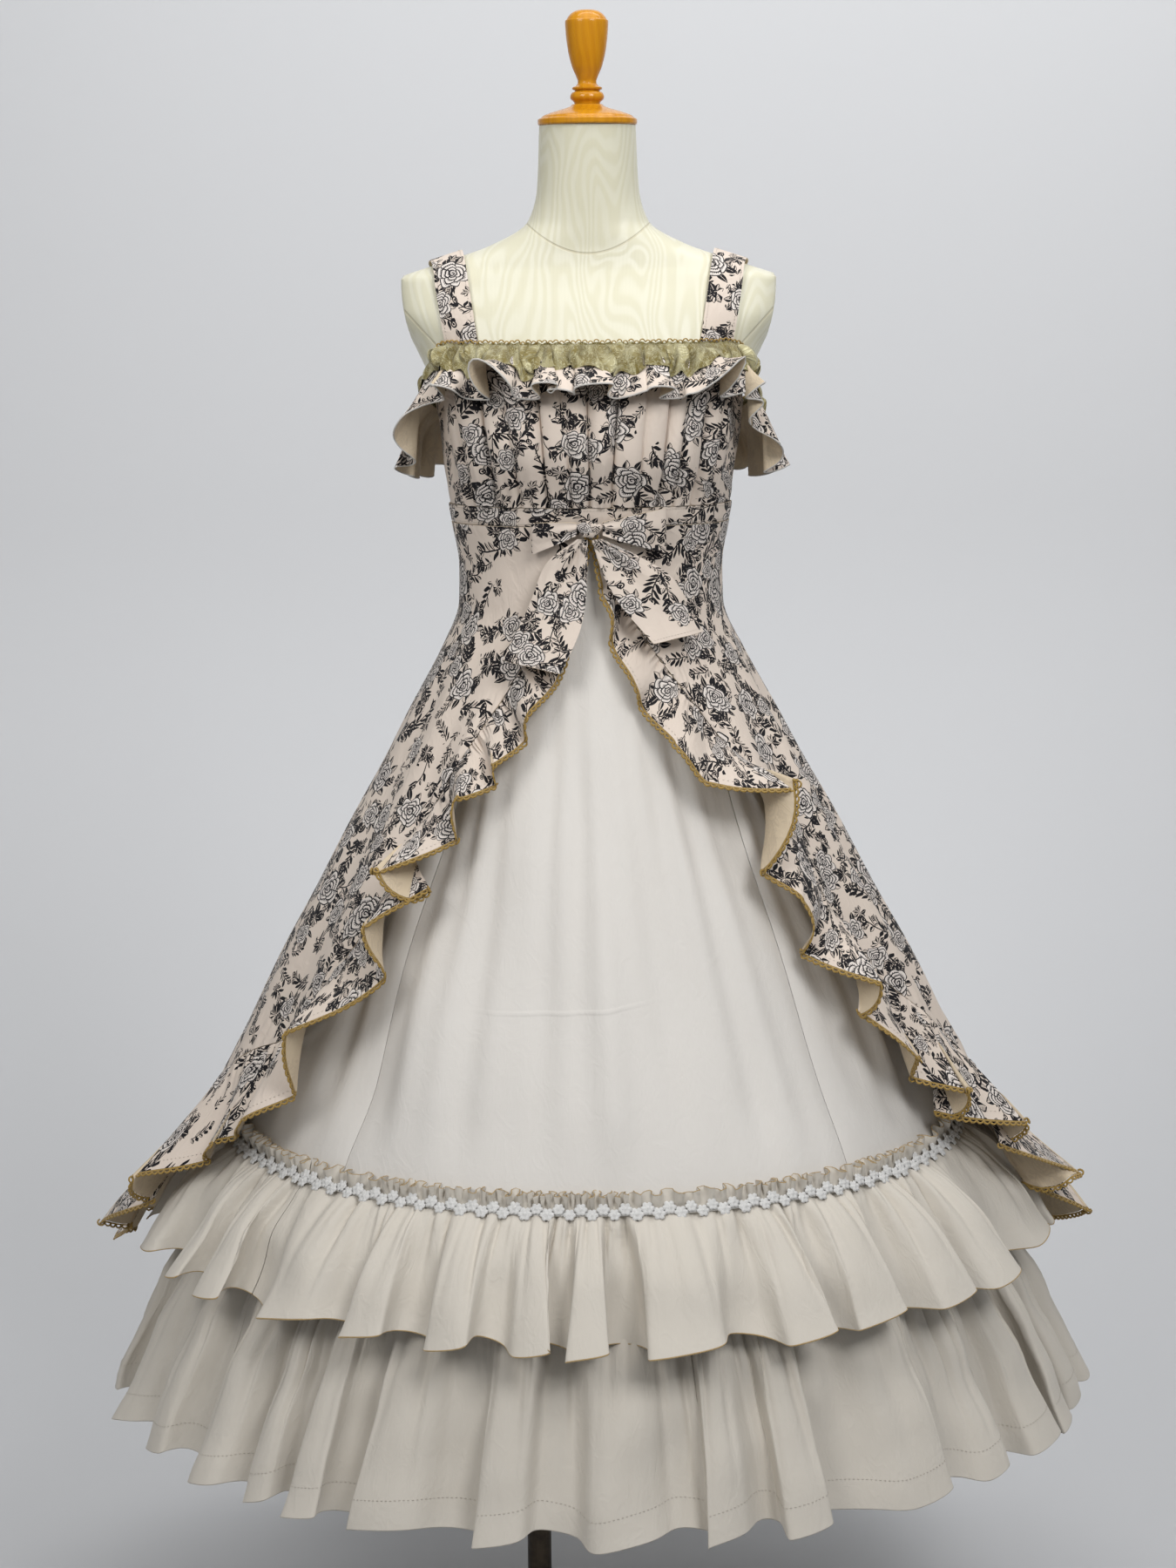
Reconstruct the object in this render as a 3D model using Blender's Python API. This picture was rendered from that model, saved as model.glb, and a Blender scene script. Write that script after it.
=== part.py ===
"""Jumper dress worn by a limbless dress form on a stand.

Metres, +Z up from the floor, -Y the front, +X the wearer's left. The origin is on the floor under the
form's own upright axis. Angles run round the figure in degrees, 0 at the centre front, 90 at the
wearer's left side, 180 at the centre back.
"""

import math

import bmesh
import bpy
import numpy as np
from mathutils import Vector
from mathutils.bvhtree import BVHTree

# Cloth and seams
CLOTH = 0.001
SEAM_GAP = 0.0003
LAYER = CLOTH + SEAM_GAP

# Heights from the floor
FINIAL_TOP = 1.719
NECK_TOP = 1.607
NECKLINE = 1.392
UNDERARM = 1.338
BACK_NECKLINE = 1.328
BAND_TOP = 1.238
BAND_BOTTOM = 1.220
GATHER_LINE = 0.608
HEADING_TOP = 0.628
UNDERSKIRT_END = 0.536
UPPER_TIER_HEM = 0.505
LOWER_TIER_HEM = 0.336
FORM_BOTTOM = 0.880

# Stand
POLE_X = -0.062
POLE_RADIUS = 0.0125
BASE_RADIUS = 0.170
BASE_RIM = 0.009
BASE_BOSS = 0.022
BOSS_RADIUS = 0.028

# Trims and frills
NECK_FRILL_WIDTH = 0.052
NECK_LACE_SHARE = 0.50
FLOUNCE_WIDTH = 0.066
PICOT_WIDTH = 0.005
LACE_TRIM_HALF = 0.0065
TRIM_REST = 0.0001
STRAP_WIDTH = 0.036


def table(columns, *rows):
    """A short table as a dictionary of columns."""
    return dict(zip(columns.split(), np.array(rows, float).T))


# The form's outline, section by section. square is 1 for an ellipse and less for a squarer section.
FORM = table(
    "height half_width front back square",
    (0.880, 0.140, 0.085, 0.100, 0.95),
    (0.893, 0.156, 0.100, 0.114, 0.95),
    (0.960, 0.165, 0.106, 0.119, 0.95),
    (1.060, 0.147, 0.098, 0.098, 0.98),
    (1.150, 0.1205, 0.084, 0.078, 1.00),
    (1.230, 0.133, 0.097, 0.086, 1.00),
    (1.300, 0.144, 0.119, 0.095, 0.94),
    (1.345, 0.152, 0.110, 0.099, 0.90),
    (1.392, 0.172, 0.092, 0.096, 0.86),
    (1.430, 0.190, 0.072, 0.084, 0.84),
    (1.458, 0.190, 0.052, 0.066, 0.84),
    (1.472, 0.155, 0.044, 0.060, 0.86),
    (1.492, 0.096, 0.041, 0.060, 0.92),
    (1.514, 0.060, 0.041, 0.062, 1.00),
    (1.545, 0.0505, 0.042, 0.060, 1.00),
    (1.607, 0.0475, 0.045, 0.050, 1.00),
)
# The flat arm plates lean inwards as they go down.
ARM_PLATE = table("height reach", (1.300, 0.150), (1.364, 0.166), (1.455, 0.185), (1.607, 0.185))

# Both skirts, from the band to the floor ruffles, and how deep a section is for its half width.
SKIRT = table(
    "height under over front_share back_share",
    (0.450, 0.430, 0.500, 0.98, 1.01),
    (0.530, 0.388, 0.463, 0.98, 1.01),
    (0.600, 0.369, 0.411, 0.97, 1.00),
    (0.680, 0.332, 0.368, 0.96, 0.99),
    (0.800, 0.277, 0.307, 0.93, 0.95),
    (1.000, 0.184, 0.200, 0.85, 0.85),
    (1.090, 0.144, 0.153, 0.79, 0.77),
    (1.140, 0.1268, 0.1330, 0.745, 0.700),
    (1.175, 0.1268, 0.1322, 0.740, 0.680),
    (1.221, 0.1345, 0.1395, 0.755, 0.680),
)

# Where each half of the overskirt ends and its flounce is sewn on, from the centre front to the back.
OVERSKIRT_EDGE = table(
    "angle left_height right_height flounce_share",
    (2.0, 1.2140, 1.2140, 0.04),
    (8.0, 1.1850, 1.1850, 0.20),
    (16.0, 1.1400, 1.1400, 0.42),
    (26.0, 1.0900, 1.0850, 0.62),
    (38.0, 1.0350, 1.0050, 0.85),
    (46.0, 0.9800, 0.9200, 1.00),
    (52.0, 0.9150, 0.8150, 1.00),
    (57.0, 0.8450, 0.7500, 1.00),
    (63.0, 0.7700, 0.7000, 1.00),
    (71.0, 0.7050, 0.6600, 1.00),
    (79.0, 0.6500, 0.6300, 1.05),
    (89.0, 0.5950, 0.5850, 1.10),
    (98.0, 0.5550, 0.5450, 1.12),
    (110.0, 0.5300, 0.5200, 1.12),
    (135.0, 0.5150, 0.5150, 1.12),
    (180.0, 0.5100, 0.5100, 1.12),
)

# Turned finial on its cap, radius at each height.
CAP_PROFILE = table(
    "height radius",
    (1.6073, 0.0470),
    (1.6095, 0.0490),
    (1.6125, 0.0490),
    (1.6165, 0.0440),
    (1.6200, 0.0350),
    (1.6275, 0.0150),
)
FINIAL_PROFILE = table(
    "height radius",
    (1.6278, 0.0125),
    (1.6305, 0.0135),
    (1.6345, 0.0168),
    (1.6390, 0.0150),
    (1.6405, 0.0118),
    (1.6430, 0.0148),
    (1.6450, 0.0118),
    (1.6480, 0.0092),
    (1.6540, 0.0108),
    (1.6640, 0.0150),
    (1.6800, 0.0188),
    (1.6980, 0.0208),
    (1.7080, 0.0211),
    (1.7100, 0.0196),
    (1.7150, 0.0150),
    (1.7180, 0.0080),
)

COLOURS = {
    "floral_cotton": ((0.62, 0.50, 0.43), 0.85, 0.0),
    "ivory_cotton": ((0.66, 0.62, 0.55), 0.80, 0.0),
    "gold_lace": ((0.48, 0.36, 0.12), 0.60, 0.0),
    "white_lace": ((0.85, 0.84, 0.82), 0.80, 0.0),
    "moire_cover": ((0.83, 0.80, 0.62), 0.45, 0.0),
    "honey_wood": ((0.56, 0.26, 0.03), 0.25, 0.0),
    "dark_metal": ((0.04, 0.035, 0.03), 0.40, 0.9),
}


def along(columns, name, at, key="height"):
    """A smooth curve through one column of a table that never overshoots its rows."""
    order = np.argsort(columns[key])
    knots, values = columns[key][order], columns[name][order]
    step = np.diff(knots)
    slope = np.diff(values) / step
    tangent = np.concatenate([slope[:1], np.zeros(len(knots) - 2), slope[-1:]])
    for i in range(1, len(knots) - 1):
        if slope[i - 1] * slope[i] > 0:
            before, after = 2 * step[i] + step[i - 1], step[i] + 2 * step[i - 1]
            tangent[i] = (before + after) / (before / slope[i - 1] + after / slope[i])
    at = np.clip(np.asarray(at, float), knots[0], knots[-1])
    i = np.clip(np.searchsorted(knots, at) - 1, 0, len(step) - 1)
    t = (at - knots[i]) / step[i]
    return (
        values[i] * (1 + 2 * t) * (1 - t) ** 2
        + tangent[i] * step[i] * t * (1 - t) ** 2
        + values[i + 1] * t * t * (3 - 2 * t)
        - tangent[i + 1] * step[i] * t * t * (1 - t)
    )


def ramp(value, start, end):
    """0 before start, 1 after end, smooth between."""
    t = np.clip((np.asarray(value, float) - start) / (end - start), 0, 1)
    return t * t * (3 - 2 * t)


def section(angle, height, half_width, front, back, square=1.0):
    """Points round the figure. Every argument may be an array of the same shape."""
    turn = np.radians(angle)
    side, ahead = np.sin(turn), np.cos(turn)
    depth = np.where(ahead >= 0, front, back)
    x = half_width * np.sign(side) * np.abs(side) ** square
    y = -depth * np.sign(ahead) * np.abs(ahead) ** square
    return np.stack(np.broadcast_arrays(x, y, height), -1)


def on_form(angle, height, lift=0.0):
    """Points on the form, or lift outside it."""
    points = section(
        angle,
        height,
        along(FORM, "half_width", height) + lift,
        along(FORM, "front", height) + lift,
        along(FORM, "back", height) + lift,
        along(FORM, "square", height),
    )
    reach = along(ARM_PLATE, "reach", height) + lift
    points[..., 0] = np.clip(points[..., 0], -reach, reach)
    return points


def flute(angle, count, shift):
    """Uneven soft folds round a skirt, between -1 and 1."""
    turn = np.radians(angle)
    drift = 0.8 * np.sin(3 * turn + shift) + 0.5 * np.sin(5 * turn + 2 * shift)
    return np.sin(count * turn + drift) * (0.75 + 0.25 * np.sin(2 * turn + 3 * shift))


def on_skirt(layer, angle, height, lift=0.0):
    """Points on the under or over skirt. The folds stay inside the space between the two."""
    space = along(SKIRT, "over", height) - along(SKIRT, "under", height)
    if layer == "under":
        free = ramp(height, 1.15, 1.0) * ramp(height, 0.64, 0.80)
        lift = lift + 0.12 * space * flute(angle, 14, 0.7) * free
    else:
        free = ramp(height, 1.18, 1.0) * (0.15 + 0.85 * ramp(height, 0.53, 0.64))
        lift = lift + 0.30 * space * flute(angle, 17, 2.1) * free
    half = along(SKIRT, layer, height)
    front, back = (half * along(SKIRT, name, height) for name in ("front_share", "back_share"))
    return section(angle, height, half + lift, front + lift, back + lift)


def material(name):
    made = bpy.data.materials.get(name)
    if made is None:
        colour, roughness, metallic = COLOURS[name]
        made = bpy.data.materials.new(name)
        made.use_nodes = True
        shader = made.node_tree.nodes["Principled BSDF"]
        shader.inputs["Base Color"].default_value = (*colour, 1)
        shader.inputs["Roughness"].default_value = roughness
        shader.inputs["Metallic"].default_value = metallic
    return made


def add_object(name, mesh, finish, parent):
    mesh.materials.append(material(finish))
    made = bpy.data.objects.new(name, mesh)
    bpy.context.scene.collection.objects.link(made)
    made.parent = parent
    return made


def wall(name, outer, inner, finish, parent):
    """A closed cloth wall between two grids. Rows run down and columns towards the wearer's left."""
    rows, columns = outer.shape[:2]
    mesh = bmesh.new()
    right_side, wrong_side = (
        [[mesh.verts.new(grid[i, j]) for j in range(columns)] for i in range(rows)]
        for grid in (outer, inner)
    )
    for i in range(rows - 1):
        for j in range(columns - 1):
            for layer, turn in ((right_side, 1), (wrong_side, -1)):
                first, last = layer[i][j], layer[i + 1][j + 1]
                mesh.faces.new((first, layer[i + 1][j], last)[::turn])
                mesh.faces.new((first, last, layer[i][j + 1])[::turn])
    edge = [(0, j) for j in range(columns)] + [(i, columns - 1) for i in range(1, rows)]
    edge += [(rows - 1, j) for j in range(columns - 2, -1, -1)] + [(i, 0) for i in range(rows - 2, 0, -1)]
    for (i, j), (k, m) in zip(edge, edge[1:] + edge[:1]):
        mesh.faces.new((right_side[i][j], right_side[k][m], wrong_side[k][m], wrong_side[i][j]))
    data = bpy.data.meshes.new(name)
    mesh.to_mesh(data)
    mesh.free()
    data.shade_smooth()
    data.set_sharp_from_angle(angle=math.radians(70))
    return add_object(name, data, finish, parent)


def outward(down, across):
    normal = np.cross(down, across)
    return normal / np.linalg.norm(normal, axis=-1, keepdims=True)


def surface_normal(surface, angle, share):
    """The outward direction of a surface that is given by its angle and its share of the way down."""
    step, small = 0.05, 0.004
    across = surface(angle + step, share) - surface(angle - step, share)
    down = surface(angle, share + small) - surface(angle, np.maximum(share - small, 0))
    return outward(down, across)


def cloth(name, surface, angle, share, finish, parent, lift=0.0, thickness=CLOTH, side=1):
    """A cut piece: its right side lies lift outside the surface, its thickness goes to the wrong side."""
    points = surface(angle, share)
    normal = side * surface_normal(surface, angle, share)
    outer, inner = points + normal * lift, points + normal * (lift - thickness)
    return wall(name, outer[:, ::side], inner[:, ::side], finish, parent)


def strip(name, points, finish, parent, thickness=CLOTH):
    """A piece given by a grid of points on its right side."""
    normal = outward(np.gradient(points, axis=0), np.gradient(points, axis=1))
    return wall(name, points, points - normal * thickness, finish, parent)


def turned(name, profile, segments, finish, parent, centre=(0, 0)):
    """A turned piece, from its profile's first row at the foot to its last at the top."""
    mesh = bmesh.new()
    rings = []
    for height, radius in zip(profile["height"], profile["radius"]):
        ring = []
        for k in range(segments):
            turn = 2 * math.pi * k / segments
            ring.append(mesh.verts.new((radius * math.cos(turn), radius * math.sin(turn), height)))
        rings.append(ring)
    for low, high in zip(rings, rings[1:]):
        for k in range(segments):
            n = (k + 1) % segments
            mesh.faces.new((low[k], low[n], high[n], high[k]))
    mesh.faces.new(rings[0][::-1])
    mesh.faces.new(rings[-1])
    data = bpy.data.meshes.new(name)
    mesh.to_mesh(data)
    mesh.free()
    data.shade_smooth()
    data.set_sharp_from_angle(angle=math.radians(40))
    made = add_object(name, data, finish, parent)
    made.location = (*centre, 0)
    return made


# ---- dress form and stand


def form_body(parent):
    """The covered torso and neck, as one closed lofted body."""
    heights = np.concatenate([
        [0.880, 0.893, 0.930, 0.990, 1.060, 1.105],
        np.linspace(1.150, 1.392, 8),
        [1.415, 1.437, 1.452, 1.462, 1.475, 1.492, 1.503, 1.518, 1.545, 1.607],
    ])
    angles = np.arange(0, 360, 360 / 32)
    mesh = bmesh.new()
    rings = []
    for height in heights:
        ring = on_form(angles, np.full(len(angles), height))
        rings.append([mesh.verts.new(p) for p in ring])
    for low, high in zip(rings, rings[1:]):
        for k in range(len(angles)):
            n = (k + 1) % len(angles)
            mesh.faces.new((low[k], low[n], high[n], high[k]))
    mesh.faces.new(rings[0][::-1])
    mesh.faces.new(rings[-1])
    mesh.normal_update()
    data = bpy.data.meshes.new("form_body")
    mesh.to_mesh(data)
    surface = BVHTree.FromBMesh(mesh)
    mesh.free()
    data.shade_smooth()
    data.set_sharp_from_angle(angle=math.radians(50))
    add_object("form_body", data, "moire_cover", parent)
    return surface


def stand(parent):
    boss = table(
        "height radius",
        (0.0, BASE_RADIUS),
        (BASE_RIM - 0.003, BASE_RADIUS),
        (BASE_RIM, BASE_RADIUS - 0.004),
        (0.5 * (BASE_RIM + BASE_BOSS), BOSS_RADIUS * 2.6),
        (BASE_BOSS, BOSS_RADIUS),
    )
    turned("stand_base", boss, 36, "dark_metal", parent, (POLE_X, 0))
    pole = table(
        "height radius",
        (BASE_BOSS + SEAM_GAP, POLE_RADIUS),
        (FORM_BOTTOM - SEAM_GAP, POLE_RADIUS),
    )
    turned("stand_pole", pole, 20, "dark_metal", parent, (POLE_X, 0))
    turned("neck_cap", CAP_PROFILE, 24, "honey_wood", parent)
    turned("finial", FINIAL_PROFILE, 16, "honey_wood", parent)


# ---- bodice


def bodice_top(angle):
    """The neckline: straight across the front, dipping to the underarm, level across the back."""
    away = np.abs(np.asarray(angle, float))
    fall = ramp(away, 50, 84) * (NECKLINE - UNDERARM)
    return NECKLINE - fall - ramp(away, 88, 116) * (UNDERARM - BACK_NECKLINE)


PLEAT_COUNT = 14
PLEAT_REACH = 60.0
PLEAT_DEPTH = 0.0070


def pleat_phase(angle):
    return np.pi * PLEAT_COUNT * angle / PLEAT_REACH + 0.9 * np.sin(0.11 * angle + 0.6)


def on_bodice(angle, share):
    """Points on the bodice, share 0 at the neckline and 1 at the band."""
    top = bodice_top(angle)
    height = top + (BAND_TOP + 2 * SEAM_GAP - top) * share
    ease = 0.0030 + 0.0026 * ramp(share, 0, 0.3)
    ridge = 0.5 + 0.5 * np.cos(pleat_phase(angle))
    gather = ridge * ramp(PLEAT_REACH + 6 - np.abs(angle), 0, 12)
    depth = PLEAT_DEPTH * ramp(share, 0.06, 0.40) * (1 - 0.55 * ramp(share, 0.75, 1.0))
    return on_form(angle, height, ease + gather * depth)


def trimmed(start, end, inner, gap=SEAM_GAP):
    """Column angles from one seam to the next, with the gap that a seam leaves."""
    gap = math.degrees(gap / 0.13)
    return np.concatenate([[start + gap], inner, [end - gap]])


def bodice(parent):
    shares = np.array([0, 0.15, 0.36, 0.60, 0.84, 1.0])
    ridges = evenly(pleat_phase, -PLEAT_REACH, PLEAT_REACH, 2)
    front = trimmed(-86, 86, np.concatenate([[-76, -67], ridges, [67, 76]]))
    back = trimmed(86, 180, np.concatenate([[92], np.linspace(101, 170, 7)]))
    for name, angles in (
        ("bodice_front", front),
        ("bodice_back_left", back),
        ("bodice_back_right", -back[::-1]),
    ):
        angle, share = np.meshgrid(angles, shares)
        cloth(name, on_bodice, angle, share, "floral_cotton", parent)


def band(parent):
    """The narrow band under the bust, joined at the sides."""

    def on_band(angle, share):
        return on_form(angle, BAND_TOP + (BAND_BOTTOM - BAND_TOP) * share, 0.0072)

    for name, start, end in (("band_front", -90, 90), ("band_back", 90, 270)):
        angles = trimmed(start, end, np.linspace(start + 9, end - 9, 19))
        angle, share = np.meshgrid(angles, [0.0, 1.0])
        cloth(name, on_band, angle, share, "floral_cotton", parent, thickness=0.0012)


def straps(parent, surface):
    """Each strap follows the form over the shoulder, from the front neckline to the back one."""
    for name, side in (("strap_left", 1), ("strap_right", -1)):
        rows = []
        front_x, top_x, back_x = side * 0.125, side * 0.143, side * 0.088
        for share in np.linspace(0, 1, 20):
            middle = np.interp(share, [0, 0.5, 1], [front_x, top_x, back_x])
            row = []
            for across in (-0.5, 0.0, 0.5):
                x = middle + across * STRAP_WIDTH
                row.append(strap_point(surface, x, share))
            rows.append(row)
        strip(name, np.array(rows)[::-1], "floral_cotton", parent, 0.0012)


def strap_point(surface, x, share):
    """The form's surface seen from inside its chest, from the front neckline up and over to the back."""
    hub = Vector((x, 0.0, 1.385))
    start = math.atan2(NECKLINE + SEAM_GAP + 0.0002 - hub.z, 0.1)
    end = math.pi + math.atan2(hub.z - BACK_NECKLINE - SEAM_GAP - 0.0002, 0.1)
    turn = start + (end - start) * share
    ray = Vector((0, -math.cos(turn), math.sin(turn)))
    hit, normal, _, _ = surface.ray_cast(hub + ray * 0.4, -ray)
    point = hit + normal * (LAYER + 0.0008 + 0.0042 * math.sin(math.pi * share))
    if share in (0.0, 1.0):
        point.z = (BACK_NECKLINE if share else NECKLINE) + 3 * SEAM_GAP
    return point


# ---- frill and lace at the neckline

NECK_WAVES = 22


def neck_phase(angle):
    turn = np.radians(angle)
    return NECK_WAVES * turn + 1.1 * np.sin(3 * turn + 0.4) + 0.7 * np.sin(8 * turn + 1.9)


def on_neck_frill(angle, share):
    """The self-cloth frill: share 0 at the seam, 1 at its free edge. It stands out at the underarms."""
    away = np.abs(angle)
    side = ramp(away, 48, 80) * (1 - 0.6 * ramp(away, 100, 140))
    wave = np.sin(neck_phase(angle))
    skew = np.degrees(-0.0024 * share * np.sin(2 * neck_phase(angle)) / 0.15)
    drop = NECK_FRILL_WIDTH * (0.90 + 0.68 * side)
    height = bodice_top(angle) - 0.0012 - drop * share * (1 + 0.04 * wave)
    out = 0.0044 + 0.0100 * share**0.6 + 0.022 * side * ramp(share, -0.35, 0.55)
    out = out + 0.0120 * share * (1 - 0.35 * side * share) * (1 + wave)
    return on_form(angle + skew, height, out)


def evenly(phase, start, end, per_wave, first=0.0, fine=4000):
    """Angles at equal steps of a wave's phase, counted from a first phase, clear of both ends."""
    dense = np.linspace(start, end, fine)
    value = phase(dense)
    step = 2 * np.pi / per_wave
    low, high = (value[0] - first) / step + 0.3, (value[-1] - first) / step - 0.3
    marks = first + step * np.arange(math.ceil(low), math.floor(high) + 1)
    return np.interp(marks, value, dense)


def trough(phase, near, reach=12):
    """The angle of a valley beside the one asked for, where a seam can lie flat."""
    dense = np.linspace(near - reach, near + reach, 2001)
    depth = -np.sin(phase(dense)) - 0.2 * np.abs(dense - near) / reach
    return float(dense[np.argmax(depth)])


def on_neck_lace(angle, share):
    points = on_neck_frill(angle, share)
    points[..., 2] += 0.003 * ramp(-share, -0.3, 0)
    return points


def neck_frill(parent):
    left, right = trough(neck_phase, 62), trough(neck_phase, -62)
    pieces = (("front", right, left), ("left", left, 180), ("right", -180, right))
    for name, start, end in pieces:
        inner = evenly(neck_phase, start, end, 4, math.pi / 4)
        angles = trimmed(start, end, inner, 1.5 * SEAM_GAP)
        angle, share = np.meshgrid(angles, [0, 0.5, 1.0])
        cloth("neck_frill_" + name, on_neck_frill, angle, share, "floral_cotton", parent)
        angle, share = np.meshgrid(angles, [0, NECK_LACE_SHARE])
        cloth("neck_lace_" + name, on_neck_lace, angle, share, "gold_lace", parent, LAYER + 0.0008)


# ---- skirts

GORES = (
    ("underskirt_front", -42, 42),
    ("underskirt_side_left", 42, 104),
    ("underskirt_side_right", -104, -42),
    ("underskirt_back_left", 104, 180),
    ("underskirt_back_right", -180, -104),
)


def skirt_gap(height):
    return np.degrees(SEAM_GAP / along(SKIRT, "under", height))


def underskirt(parent):
    top = BAND_BOTTOM - 2 * SEAM_GAP
    heights = np.array([top, 1.180, 1.140, 1.080, 0.980, 0.820, GATHER_LINE, UNDERSKIRT_END])

    def on_underskirt(angle, share):
        return on_skirt("under", angle, top + (UNDERSKIRT_END - top) * share)

    for name, start, end in GORES:
        count = int((end - start) / 9.5) + 1
        across, height = np.meshgrid(np.linspace(0, 1, count), heights)
        gap = skirt_gap(height)
        angle = start + gap + (end - start - 2 * gap) * across
        share = (height - top) / (UNDERSKIRT_END - top)
        cloth(name, on_underskirt, angle, share, "ivory_cotton", parent)


def edge_height(angle, side):
    return along(OVERSKIRT_EDGE, "left_height" if side > 0 else "right_height", angle, "angle")


def overskirt_height(angle, share, side):
    """Rows stand closer at the waist where a column is long."""
    top = BAND_BOTTOM - 2 * SEAM_GAP
    length = top - edge_height(angle, side)
    waisted = along(WAIST_ROWS, "long", share, "even")
    blend = ramp(length, 0.05, 0.45)
    return top - length * (share + (waisted - share) * blend)


def overskirt(parent):
    """Open at the front, each half reaching from its sloping edge to the centre back seam."""
    early = [2, 5, 9, 14, 20, 27, 34, 41, 48, 53, 58, 63, 70, 80]
    angles = np.concatenate([early, np.linspace(90, 170, 8), [179.9]])
    angle, share = np.meshgrid(angles, WAIST_ROWS["even"])
    for name, side in (("overskirt_left", 1), ("overskirt_right", -1)):

        def on_overskirt(angle, share):
            return on_skirt("over", side * angle, overskirt_height(angle, share, side))

        cloth(name, on_overskirt, angle, share, "floral_cotton", parent, side=side)


# Shares of the way down for even rows, and for a long column that has to follow the waist.
WAIST_ROWS = table(
    "even long",
    (0.00, 0.000),
    (0.16, 0.065),
    (0.32, 0.135),
    (0.48, 0.225),
    (0.66, 0.430),
    (0.83, 0.700),
    (1.00, 1.000),
)

FLOUNCE_WAVES = 16
FLOUNCE_DROOP = 0.35


def seam_frame(angle, side):
    """The seam's height, its run in metres, and the direction the flounce falls in, per degree and metre."""
    step = 0.25
    height = edge_height(angle, side)
    around = on_skirt("over", angle + step, height) - on_skirt("over", angle - step, height)
    metres = np.linalg.norm(around, axis=-1) / (2 * step)
    climb = (edge_height(angle + step, side) - edge_height(angle - step, side)) / (2 * step)
    slant = 1.12 * climb / metres
    run = np.stack([np.ones_like(slant), slant]) / np.hypot(1, slant)
    fall = np.stack([run[1], -run[0]]) * (1 - FLOUNCE_DROOP)
    fall[1] -= FLOUNCE_DROOP
    fall /= np.hypot(fall[0], fall[1])
    return height, metres, run, fall


def flounce_phase(angle, side, shift):
    dense = np.linspace(2, 180, 900)
    height, metres, _, _ = seam_frame(dense, side)
    step = np.hypot(np.diff(dense) * 0.5 * (metres[1:] + metres[:-1]), 1.12 * np.diff(height))
    length = np.concatenate([[0], np.cumsum(step)])
    run = np.interp(angle, dense, length) / length[-1]
    return 2 * np.pi * FLOUNCE_WAVES * run + 0.9 * np.sin(9 * run + shift) + shift


def on_flounce(angle, share, side, shift):
    """The gathered edge of the overskirt: share 0 at its seam, 1 at its free edge."""
    height, metres, run, fall = seam_frame(angle, side)
    width = FLOUNCE_WIDTH * along(OVERSKIRT_EDGE, "flounce_share", angle, "angle")
    phase = flounce_phase(angle, side, shift)
    wave = np.sin(phase)
    sway = -0.07 * width * share * np.sin(2 * phase) * ramp(180 - angle, 0, 8)
    reach = width * share * (1 + 0.14 * np.cos(phase))
    turned_angle = angle + (fall[0] * reach + run[0] * sway) / metres
    drop = (fall[1] * reach + run[1] * sway) / 1.12
    calm = 1 - 0.40 * ramp(angle, 70, 92)
    lift = width * (0.05 * share + 0.33 * calm * share**0.8 * (1 + wave))
    return on_skirt("over", side * turned_angle, height + drop, lift)


def flounce(parent):
    for name, side, shift in (("left", 1, 0.4), ("right", -1, 2.9)):

        def waves(angle):
            return flounce_phase(angle, side, shift)

        def falling(angle, share):
            return on_flounce(angle, share, side, shift)

        angles = np.concatenate([[2.0], evenly(waves, 2.0, 179.9, 4, math.pi / 4), [179.9]])
        width = FLOUNCE_WIDTH * along(OVERSKIRT_EDGE, "flounce_share", angles, "angle")
        angle = np.tile(angles, (3, 1))
        share = np.stack([4 * SEAM_GAP / width, np.full_like(width, 0.5), np.ones_like(width)])
        cloth("flounce_" + name, falling, angle, share, "floral_cotton", parent, side=side)
        share = np.stack([1 + 3 * SEAM_GAP / width, 1 + PICOT_WIDTH / width])
        cloth("picot_trim_" + name, falling, angle[:2], share, "gold_lace", parent, side=side)


# ---- tiers round the hem

UPPER_TIER = {
    "top": GATHER_LINE,
    "hem": UPPER_TIER_HEM,
    "hem_reach": 0.444,
    "waves": 38,
    "depth": 0.0120,
    "seed": 0.6,
}
LOWER_TIER = {
    "top": UNDERSKIRT_END - 3 * SEAM_GAP,
    "hem": LOWER_TIER_HEM,
    "hem_reach": 0.478,
    "waves": 36,
    "depth": 0.0150,
    "seed": 2.3,
}
TIER_STRIPS = (("front", -52, 52), ("left", 52, 128), ("right", -128, -52), ("back", 128, 232))


def tier_phase(tier, angle):
    turn, seed = np.radians(angle), tier["seed"]
    drift = 1.3 * np.sin(3 * turn + seed) + 0.9 * np.sin(7 * turn + 2 * seed) + 0.5 * np.sin(13 * turn + seed)
    return tier["waves"] * turn + drift


def on_tier(tier, angle, share, rest=0.0):
    """A gathered tier: share 0 at its gathering line and 1 at its hem."""
    phase = tier_phase(tier, angle)
    wave = np.sin(phase)
    uneven = 0.8 + 0.2 * np.sin(5 * np.radians(angle) + 3 * tier["seed"])
    top_reach = along(SKIRT, "under", tier["top"]) + rest
    reach = top_reach + (tier["hem_reach"] - top_reach) * share**0.85
    height = tier["top"] + (tier["hem"] - tier["top"]) * share - 0.004 * share * np.cos(phase)
    lift = tier["depth"] * uneven * np.abs(share) ** 0.7 * (wave + 0.25 * (1 - share))
    skew = np.degrees(-0.0042 * share * np.sin(2 * phase) / reach)
    front, back = (along(SKIRT, name, tier["hem"]) for name in ("front_share", "back_share"))
    front = front + (along(SKIRT, "front_share", tier["top"]) - front) * (1 - share)
    back = back + (along(SKIRT, "back_share", tier["top"]) - back) * (1 - share)
    return section(angle + skew, height, reach + lift, reach * front + lift, reach * back + lift)


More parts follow.
